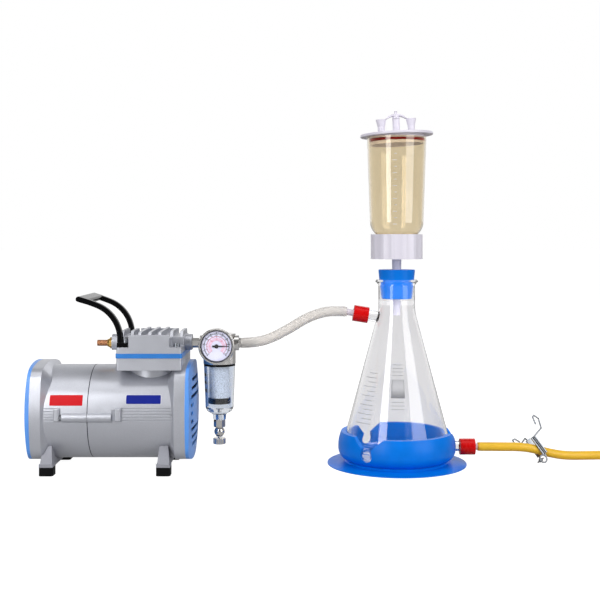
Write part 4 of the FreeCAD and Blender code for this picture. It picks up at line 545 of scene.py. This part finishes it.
MATERIALS = {
    "silver_paint": powder_coat("silver_paint", SILVER),
    "blue_cover": moulded("blue_cover", COVER_BLUE, roughness=0.36, grain=1900, variation=0.03,
                          Coat_Weight=0.1),
    "blue_plate": moulded("blue_plate", PLATE_BLUE, roughness=0.34, grain=2600, variation=0.05,
                          Metallic=0.35),
    "black_rubber": moulded("black_rubber", RUBBER_BLACK, roughness=0.5, grain=1400, grain_depth=0.00005,
                            IOR=1.2),
    "steel": turned_metal("steel", DULL_STEEL, roughness=0.3, stretch=DRAWN_ON_X),
    "black_plastic": moulded("black_plastic", GLOSS_BLACK, roughness=0.13, grain=500,
                             grain_depth=0.000004, IOR=1.2),
    "lamination": turned_metal("lamination", CORE_STEEL, roughness=0.45, stretch=STACKED_ON_X, tarnish=0.3),
    "fan_plastic": moulded("fan_plastic", FAN_GREY, roughness=0.45),
    "cast_alloy": powder_coat("cast_alloy", CAST_GREY),
    "seal_plastic": moulded("seal_plastic", SEAL_BROWN, roughness=0.5, variation=0.12),
    "brass": turned_metal("brass", BRASS, roughness=0.28, stretch=TURNED_ON_X),
    "bronze": granular("bronze", BRONZE, roughness=0.42, metallic=0.85, grain=1500, depth=0.0002),
    "nickel": turned_metal("nickel", NICKEL, roughness=0.1, stretch=TURNED_ON_Z, centre=TRAP_AXIS,
                           tarnish=0.08),
    "dial_white": moulded("dial_white", DIAL_WHITE, roughness=0.5, grain=2500, variation=0.01),
    "clear_lens": clear("clear_lens", LENS_CLEAR, roughness=0.01, ior=1.49, shadow_tint=LENS_SHADOW,
                        smudge=0.03),
    "clear_bowl": clear("clear_bowl", BOWL_TINT, roughness=0.03, ior=1.52, shadow_tint=BOWL_SHADOW),
    "filter_white": granular("filter_white", FILTER_WHITE, roughness=0.75, metallic=0.0, grain=1700,
                             depth=0.0001),
    "clear_silicone": milky("clear_silicone", MILKY, roughness=0.2, clearness=0.5,
                            shadow_tint=MILKY_SHADOW),
    "white_plastic": moulded("white_plastic", WHITE_PLASTIC, roughness=0.36, grain=1100, variation=0.015),
    "red_plastic": moulded("red_plastic", RED, roughness=0.27, grain=900, variation=0.05,
                           Specular_IOR_Level=0.25),
    "flask_glass": clear("flask_glass", GLASS_CLEAR, roughness=0.0, ior=1.47, shadow_tint=GLASS_SHADOW,
                         smudge=0.03),
    "blue_silicone": moulded("blue_silicone", BASE_BLUE, roughness=0.34, grain=1300, variation=0.05,
                             Specular_IOR_Level=0.15),
    "amber_hose": milky("amber_hose", AMBER, roughness=0.34, clearness=0.12, shadow_tint=AMBER_SHADOW),
    "screen_steel": turned_metal("screen_steel", STEEL, roughness=0.3, stretch=ROLLED),
    "gasket_silicone": moulded("gasket_silicone", GASKET_WHITE, roughness=0.42),
    "amber_cup": clear("amber_cup", CUP_AMBER, roughness=0.04, ior=1.5, shadow_tint=CUP_SHADOW, smudge=0.08),
    "red_silicone": moulded("red_silicone", SEAL_RED, roughness=0.36, variation=0.08,
                            Specular_IOR_Level=0.2),
}
# the feet's brackets have a rougher, less metallic coat than the housings, and a darker grey that is painted
# shade, as they stand low under the barrel
SHADED_FOOT_PAINT = powder_coat("shaded_foot_paint", SHADED_FOOT_GREY, metallic=0.2, smoothest=0.5, roughest=0.62)


def dress_cad():
    """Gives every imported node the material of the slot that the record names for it."""
    for part in frame["record"]["subparts"]:
        node = NODES[part["node"]]
        node.data.materials.clear()
        node.data.materials.append(MATERIALS[part["material_slot"]])
    # the feet's brackets get the darker coat, whose grey is painted shade
    for bracket in ("foot_bracket_left", "foot_bracket_right"):
        NODES[bracket].data.materials[0] = SHADED_FOOT_PAINT


dress_cad()
vacuum_tube.data.materials.append(MATERIALS["clear_silicone"])
drain_tube.data.materials.append(MATERIALS["amber_hose"])


# ---------------------------------------------------------------- printed and applied detail
# sizes from here on are in mm, and angles in degrees

PLATE_RIM = 0.3             # width of a plate's softened rim
PLATE_RIM_SHARE = 0.7       # how high the rim begins, as a share of the plate's height
PLATE_SUNK = 0.3            # how far a plate's edge goes into the casting
CORNER_STEPS = 6
IN_FRONT = -1.0             # metres in front of everything


def outside(node):
    """The node's mesh, ready for finding points on it."""
    return BVHTree.FromObject(NODES[node], bpy.context.evaluated_depsgraph_get())


def box_mm(node):
    """The node's box as x0, y0, z0, x1, y1, z1."""
    low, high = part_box(node)
    return [c / MM for c in (*low, *high)]


def add_piece(obj, body, material):
    """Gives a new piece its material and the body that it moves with."""
    obj.data.materials.append(material)
    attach(obj, body)


def grid_faces(bm, rows):
    """Quads between neighbouring rows of equally many vertices."""
    for first, second in zip(rows, rows[1:]):
        for k in range(len(first) - 1):
            bm.faces.new((first[k], first[k + 1], second[k + 1], second[k]))


def outline(rows):
    """The vertices round the edge of a grid, back to the first."""
    left_side = [row[0] for row in rows]
    right_side = [row[-1] for row in reversed(rows)]
    return left_side + rows[-1][1:-1] + right_side + rows[0][-2:0:-1] + rows[0][:1]


def rounded_rows(low, high, corner):
    """Heights across a plate with round corners, and how far each row is set in at its ends."""
    arc = [math.pi / 2 * i / CORNER_STEPS for i in range(CORNER_STEPS + 1)]
    start = [(low + corner * (1 - math.sin(a)), corner * (1 - math.cos(a))) for a in reversed(arc)]
    end = [(high - corner * (1 - math.sin(a)), corner * (1 - math.cos(a))) for a in arc]
    count = CORNER_STEPS * 2
    middle = [(low + (high - low) * i / count, 0.0) for i in range(1, count)]
    middle = [row for row in middle if low + corner < row[0] < high - corner]
    return start + middle + end


def front_plate(name, node, x_span, z_span, corner, lift, material, slot_name):
    """Thin plate with round corners and a softened rim, bent to the front of a node."""
    shell = outside(node)
    bm = bmesh.new()
    layers = []
    for inset, height in ((0.0, -PLATE_SUNK), (0.0, lift * PLATE_RIM_SHARE), (PLATE_RIM, lift)):
        rows = []
        for z, bite in rounded_rows(z_span[0] + inset, z_span[1] - inset, corner):
            row = []
            for x in (x_span[0] + inset + bite, x_span[1] - inset - bite):
                place, normal, _, _ = shell.ray_cast(Vector((x * MM, IN_FRONT, z * MM)), Vector((0, 1, 0)))
                row.append(bm.verts.new(place + normal * height * MM))
            rows.append(row)
        layers.append(rows)
    grid_faces(bm, layers[0])
    grid_faces(bm, layers[-1])
    for inner, outer in zip(layers, layers[1:]):
        grid_faces(bm, [outline(inner), outline(outer)])
    add_piece(mesh_object(name, bm, smooth=False), "base", material)


PLATE_RED = moulded("plate_red", screen(208, 6, 22), roughness=0.34, grain=900, variation=0.03,
                    Specular_IOR_Level=0.15)
PLATE_NAVY = moulded("plate_navy", screen(10, 30, 136), roughness=0.34, grain=900, variation=0.04,
                     Specular_IOR_Level=0.15)
PLATE_BORDER = moulded("plate_border", screen(206, 208, 216), roughness=0.34, grain=900, variation=0.02)
# name, node under it, ends along x, ends along z, corner radius, height, material, slot
PLATES = [
    ("plate_left", "motor_housing", (-399.4, -362.2), (79.8, 91.3), 0.8, 0.45, PLATE_RED, "red_plastic"),
    ("plate_right_rim", "crankcase_housing", (-313.6, -272.9), (81.0, 91.9), 1.6, 0.4, PLATE_BORDER,
     "white_plastic"),
    ("plate_right", "crankcase_housing", (-312.9, -273.6), (81.7, 91.2), 1.2, 0.7, PLATE_NAVY, "blue_plate"),
]

for plate in PLATES:
    front_plate(*plate)


# ---------------------------------------------------------------- gauge dial print

DIAL = box_mm("gauge_dial")
DIAL_GAP = 0.04              # the print's back stands this far in front of the dial
DIAL_X = (DIAL[0] + DIAL[3]) / 2
DIAL_Y = DIAL[1] - DIAL_GAP
DIAL_Z = (DIAL[2] + DIAL[5]) / 2
SCALE_START = 225.0          # anticlockwise from the right
SCALE_SWEEP = 270.0
SCALE_LINE_W = 0.5
SCALE_STEPS = 90
MARKS_EACH = 5               # steps from one long mark to the next
LONG_MARK_HALF = 1.5
SHORT_MARK_HALF = 0.8
INK_T = 0.12
BAND_IN_R = 6.2
BAND_OUT_R = 9.8


def dial_point(radius, degrees, depth):
    """A point in metres round the dial. depth goes back from the print's back."""
    a = math.radians(degrees)
    return Vector((DIAL_X + radius * math.cos(a), DIAL_Y + depth, DIAL_Z + radius * math.sin(a))) * MM


def scale_angle(share):
    return SCALE_START - SCALE_SWEEP * share


def dial_band(bm, r_in, r_out, start, end, steps):
    """Flat closed band on the dial between two radii and two angles."""
    layers = []
    for depth in (-INK_T, 0.0):
        angles = [start + (end - start) * i / steps for i in range(steps + 1)]
        layers.append([[bm.verts.new(dial_point(r, a, depth)) for r in (r_in, r_out)] for a in angles])
    for layer in layers:
        grid_faces(bm, layer)
    grid_faces(bm, [outline(layer) for layer in layers])


def dial_scale(name, r_line, r_short, r_long, divisions, material):
    """An arc with its graduation marks, all in one piece."""
    bm = bmesh.new()
    dial_band(bm, r_line - SCALE_LINE_W / 2, r_line + SCALE_LINE_W / 2, scale_angle(0), scale_angle(1),
              SCALE_STEPS)
    count = divisions * MARKS_EACH
    for i in range(count + 1):
        angle = scale_angle(i / count)
        is_long = i % MARKS_EACH == 0
        reach = r_long if is_long else r_short
        half = LONG_MARK_HALF if is_long else SHORT_MARK_HALF
        dial_band(bm, min(r_line, reach), max(r_line, reach), angle - half, angle + half, 1)
    add_piece(mesh_object(name, bm, smooth=False), "base", material)


def tinted_band(name, r_in, r_out, material):
    """A band of colour under the scale's figures, as long as the scale."""
    bm = bmesh.new()
    dial_band(bm, r_in, r_out, scale_angle(0), scale_angle(1), SCALE_STEPS)
    add_piece(mesh_object(name, bm, smooth=False), "base", material)


def text_mesh(text, size):
    """Thin solid lettering as a mesh in its own plane, centred, in metres."""
    data = bpy.data.curves.new("figures", "FONT")
    data.body = text
    data.size = size * MM
    data.extrude = INK_T / 2 * MM
    data.align_x = "CENTER"
    data.align_y = "CENTER"
    figure = link(bpy.data.objects.new("figures", data))
    mesh = bpy.data.meshes.new_from_object(figure)
    bpy.data.objects.remove(figure)
    bpy.data.curves.remove(data)
    return mesh


def dial_figures(name, radius, size, values, material, lift):
    """Upright numbers round the dial, in one piece. Their middles stand lift in front of the print's back."""
    bm = bmesh.new()
    upright = Matrix.Rotation(math.pi / 2, 4, "X")
    for i, value in enumerate(values):
        angle = scale_angle(i / (len(values) - 1))
        mesh = text_mesh(str(value), size)
        mesh.transform(Matrix.Translation(dial_point(radius, angle, -lift)) @ upright)
        bm.from_mesh(mesh)
        bpy.data.meshes.remove(mesh)
    add_piece(mesh_object(name, bm, smooth=False), "base", material)


INK_BLACK = moulded("ink_black", screen(30, 30, 52), roughness=0.5, grain=900, variation=0.03)
INK_RED = moulded("ink_red", screen(190, 50, 80), roughness=0.5, grain=900, variation=0.03)
BAND_PINK = moulded("band_pink", screen(222, 186, 208), roughness=0.5, grain=900, variation=0.03)

dial_scale("dial_scale_outer", r_line=14.2, r_short=15.2, r_long=16.0, divisions=10, material=INK_BLACK)
dial_scale("dial_scale_inner", r_line=11.3, r_short=10.6, r_long=10.0, divisions=6, material=INK_RED)
tinted_band("dial_band_inner", BAND_IN_R, BAND_OUT_R, BAND_PINK)
dial_figures("dial_figures_outer", radius=12.7, size=2.5, values=range(0, 110, 10), material=INK_BLACK,
             lift=INK_T / 2)
# the inner figures lie on the tinted band
dial_figures("dial_figures_inner", radius=8.0, size=2.2, values=range(0, 35, 5), material=INK_RED,
             lift=2 * INK_T)


# ---------------------------------------------------------------- turned rings

def lathe(name, profile, centre, axis="Z", sides=72):
    """Closed ring turned from (radius, height) points about an axis through centre."""
    turn = {"X": Matrix.Rotation(math.pi / 2, 3, "Y"), "Y": Matrix.Rotation(-math.pi / 2, 3, "X"),
            "Z": Matrix.Identity(3)}[axis]
    bm = bmesh.new()
    rows = []
    for radius, height in profile + profile[:1]:
        row = []
        for k in range(sides):
            a = 2 * math.pi * k / sides
            on_ring = Vector((radius * math.cos(a), radius * math.sin(a), height))
            row.append(bm.verts.new((Vector(centre) + turn @ on_ring) * MM))
        rows.append(row + row[:1])
    grid_faces(bm, rows)
    bmesh.ops.remove_doubles(bm, verts=bm.verts, dist=0.000001)
    return mesh_object(name, bm)


# painted shade: a dark ring inside the gauge's case, round the dial, where the rim lies in shade
RIM_SHADE_PROFILE = [(17.1, 0.2), (17.4, -0.4), (17.8, -2.4), (18.45, -2.4), (18.45, 0.2)]
RIM_SHADE_Y = DIAL[1] - 0.3
GAUGE_DARK = moulded("gauge_dark", screen(14, 16, 40), roughness=0.3, grain=900, Specular_IOR_Level=0.2)
rim_shade = lathe("gauge_rim_shade", RIM_SHADE_PROFILE, (DIAL_X, RIM_SHADE_Y, DIAL_Z), "Y")
add_piece(rim_shade, "base", GAUGE_DARK)

# gasket in the seam between the barrel's halves
BARREL_R = 54.4
GASKET_HALF = 0.4
GASKET_PROUD = 0.12
GASKET_DEPTH = 1.2
SEAM_HALF = 0.2
HOUSING = box_mm("motor_housing")
END_COVER = box_mm("fan_cover_left")
SEAM_CENTRE = (HOUSING[3] + SEAM_HALF, (END_COVER[1] + END_COVER[4]) / 2, HOUSING[2] + BARREL_R)
GASKET_IN_R = BARREL_R - GASKET_DEPTH
GASKET_OUT_R = BARREL_R + GASKET_PROUD
GASKET_PROFILE = [(GASKET_IN_R, -GASKET_HALF), (GASKET_OUT_R, -GASKET_HALF),
                  (GASKET_OUT_R, GASKET_HALF), (GASKET_IN_R, GASKET_HALF)]
gasket = lathe("barrel_gasket", GASKET_PROFILE, SEAM_CENTRE, "X", sides=120)
add_piece(gasket, "base", GAUGE_DARK)

# wide lip of the lid's seal
LIP_HALF_H = 1.5
LIP_FLAT_HALF_H = 1.05
LIP_T = 0.4
LIP_SUNK = 0.05             # keeps the lip just inside the seal's own box
SEAL = box_mm("lid_o_ring")
SEAL_CENTRE = ((SEAL[0] + SEAL[3]) / 2, (SEAL[1] + SEAL[4]) / 2, (SEAL[2] + SEAL[5]) / 2)
LIP_R = (SEAL[3] - SEAL[0]) / 2 - LIP_SUNK
LIP_PROFILE = [(LIP_R - LIP_T, -LIP_HALF_H), (LIP_R, -LIP_FLAT_HALF_H),
               (LIP_R, LIP_FLAT_HALF_H), (LIP_R - LIP_T, LIP_HALF_H)]
lip = lathe("lid_seal_lip", LIP_PROFILE, SEAL_CENTRE)
add_piece(lip, "lid", MATERIALS["red_silicone"])


# ---------------------------------------------------------------- graduations on the glass and the cup

PRINT_GREY = moulded("print_grey", screen(172, 172, 176), roughness=0.6, grain=2000, variation=0.05)
PRINT_PATCH = moulded("print_patch", screen(190, 190, 194), roughness=0.62, grain=2000, variation=0.04)
PRINT_WHITE = moulded("print_white", screen(240, 240, 242), roughness=0.5, grain=2000, variation=0.02)
PRINT_LIFT = 0.1
PRINT_SUNK = 0.05
DEGREES_A_STEP = 2
FAR_OUT = 0.2                # metres from the flask's axis, outside every wall
FLASK_LINE_HALF_H = 0.3
CUP_LINE_HALF_H = 0.25
MIDDLE_LINES_Z = (72, 76, 80, 110, 114, 118, 122)
MIDDLE_LINE_ENDS = (-12, 5)
PATCH_Z = 95
PATCH_ENDS = (-13, 6)
PATCH_HALF_H = 10.5


def wall_row(shell, height, start, end, lift):
    """Points along a round wall about the flask's axis. Angles are from the front, negative to the left."""
    points = []
    steps = max(2, int(abs(end - start) / DEGREES_A_STEP))
    for i in range(steps + 1):
        a = math.radians(start + (end - start) * i / steps)
        out = Vector((math.sin(a), -math.cos(a), 0))
        place, normal, _, _ = shell.ray_cast(out * FAR_OUT + Vector((0, 0, height * MM)), -out)
        points.append(place + normal * lift * MM)
    return points


def wall_prints(name, node, marks, material):
    """Short printed strokes round a wall. marks are (height, start, end, half the stroke's height)."""
    shell = outside(node)
    bm = bmesh.new()
    for height, start, end, half_h in marks:
        layers = []
        for lift in (PRINT_LIFT, -PRINT_SUNK):
            rows = [wall_row(shell, height + dz, start, end, lift) for dz in (-half_h, 0, half_h)]
            layers.append([[bm.verts.new(p) for p in row] for row in rows])
        for layer in layers:
            grid_faces(bm, layer)
        grid_faces(bm, [outline(layer) for layer in layers])
    add_piece(mesh_object(name, bm), "base", material)


def scale_marks(low, step, count, long_start, short_start, end, half_h):
    """Marks of an upright scale, long and short in turn."""
    return [(low + step * i, short_start if i % 2 else long_start, end, half_h) for i in range(count)]


side_marks = scale_marks(low=54, step=5.2, count=12, long_start=-62, short_start=-54, end=-38,
                         half_h=FLASK_LINE_HALF_H)
middle_marks = [(z, *MIDDLE_LINE_ENDS, FLASK_LINE_HALF_H) for z in MIDDLE_LINES_Z]
cup_marks = scale_marks(low=286, step=7.5, count=12, long_start=-13, short_start=-10, end=-5,
                        half_h=CUP_LINE_HALF_H)
wall_prints("flask_graduations", "flask", side_marks + middle_marks, PRINT_GREY)
wall_prints("flask_patch", "flask", [(PATCH_Z, *PATCH_ENDS, PATCH_HALF_H)], PRINT_PATCH)
wall_prints("cup_graduations", "funnel_cup", cup_marks, PRINT_WHITE)


# ---------------------------------------------------------------- the end

bpy.context.view_layer.update()
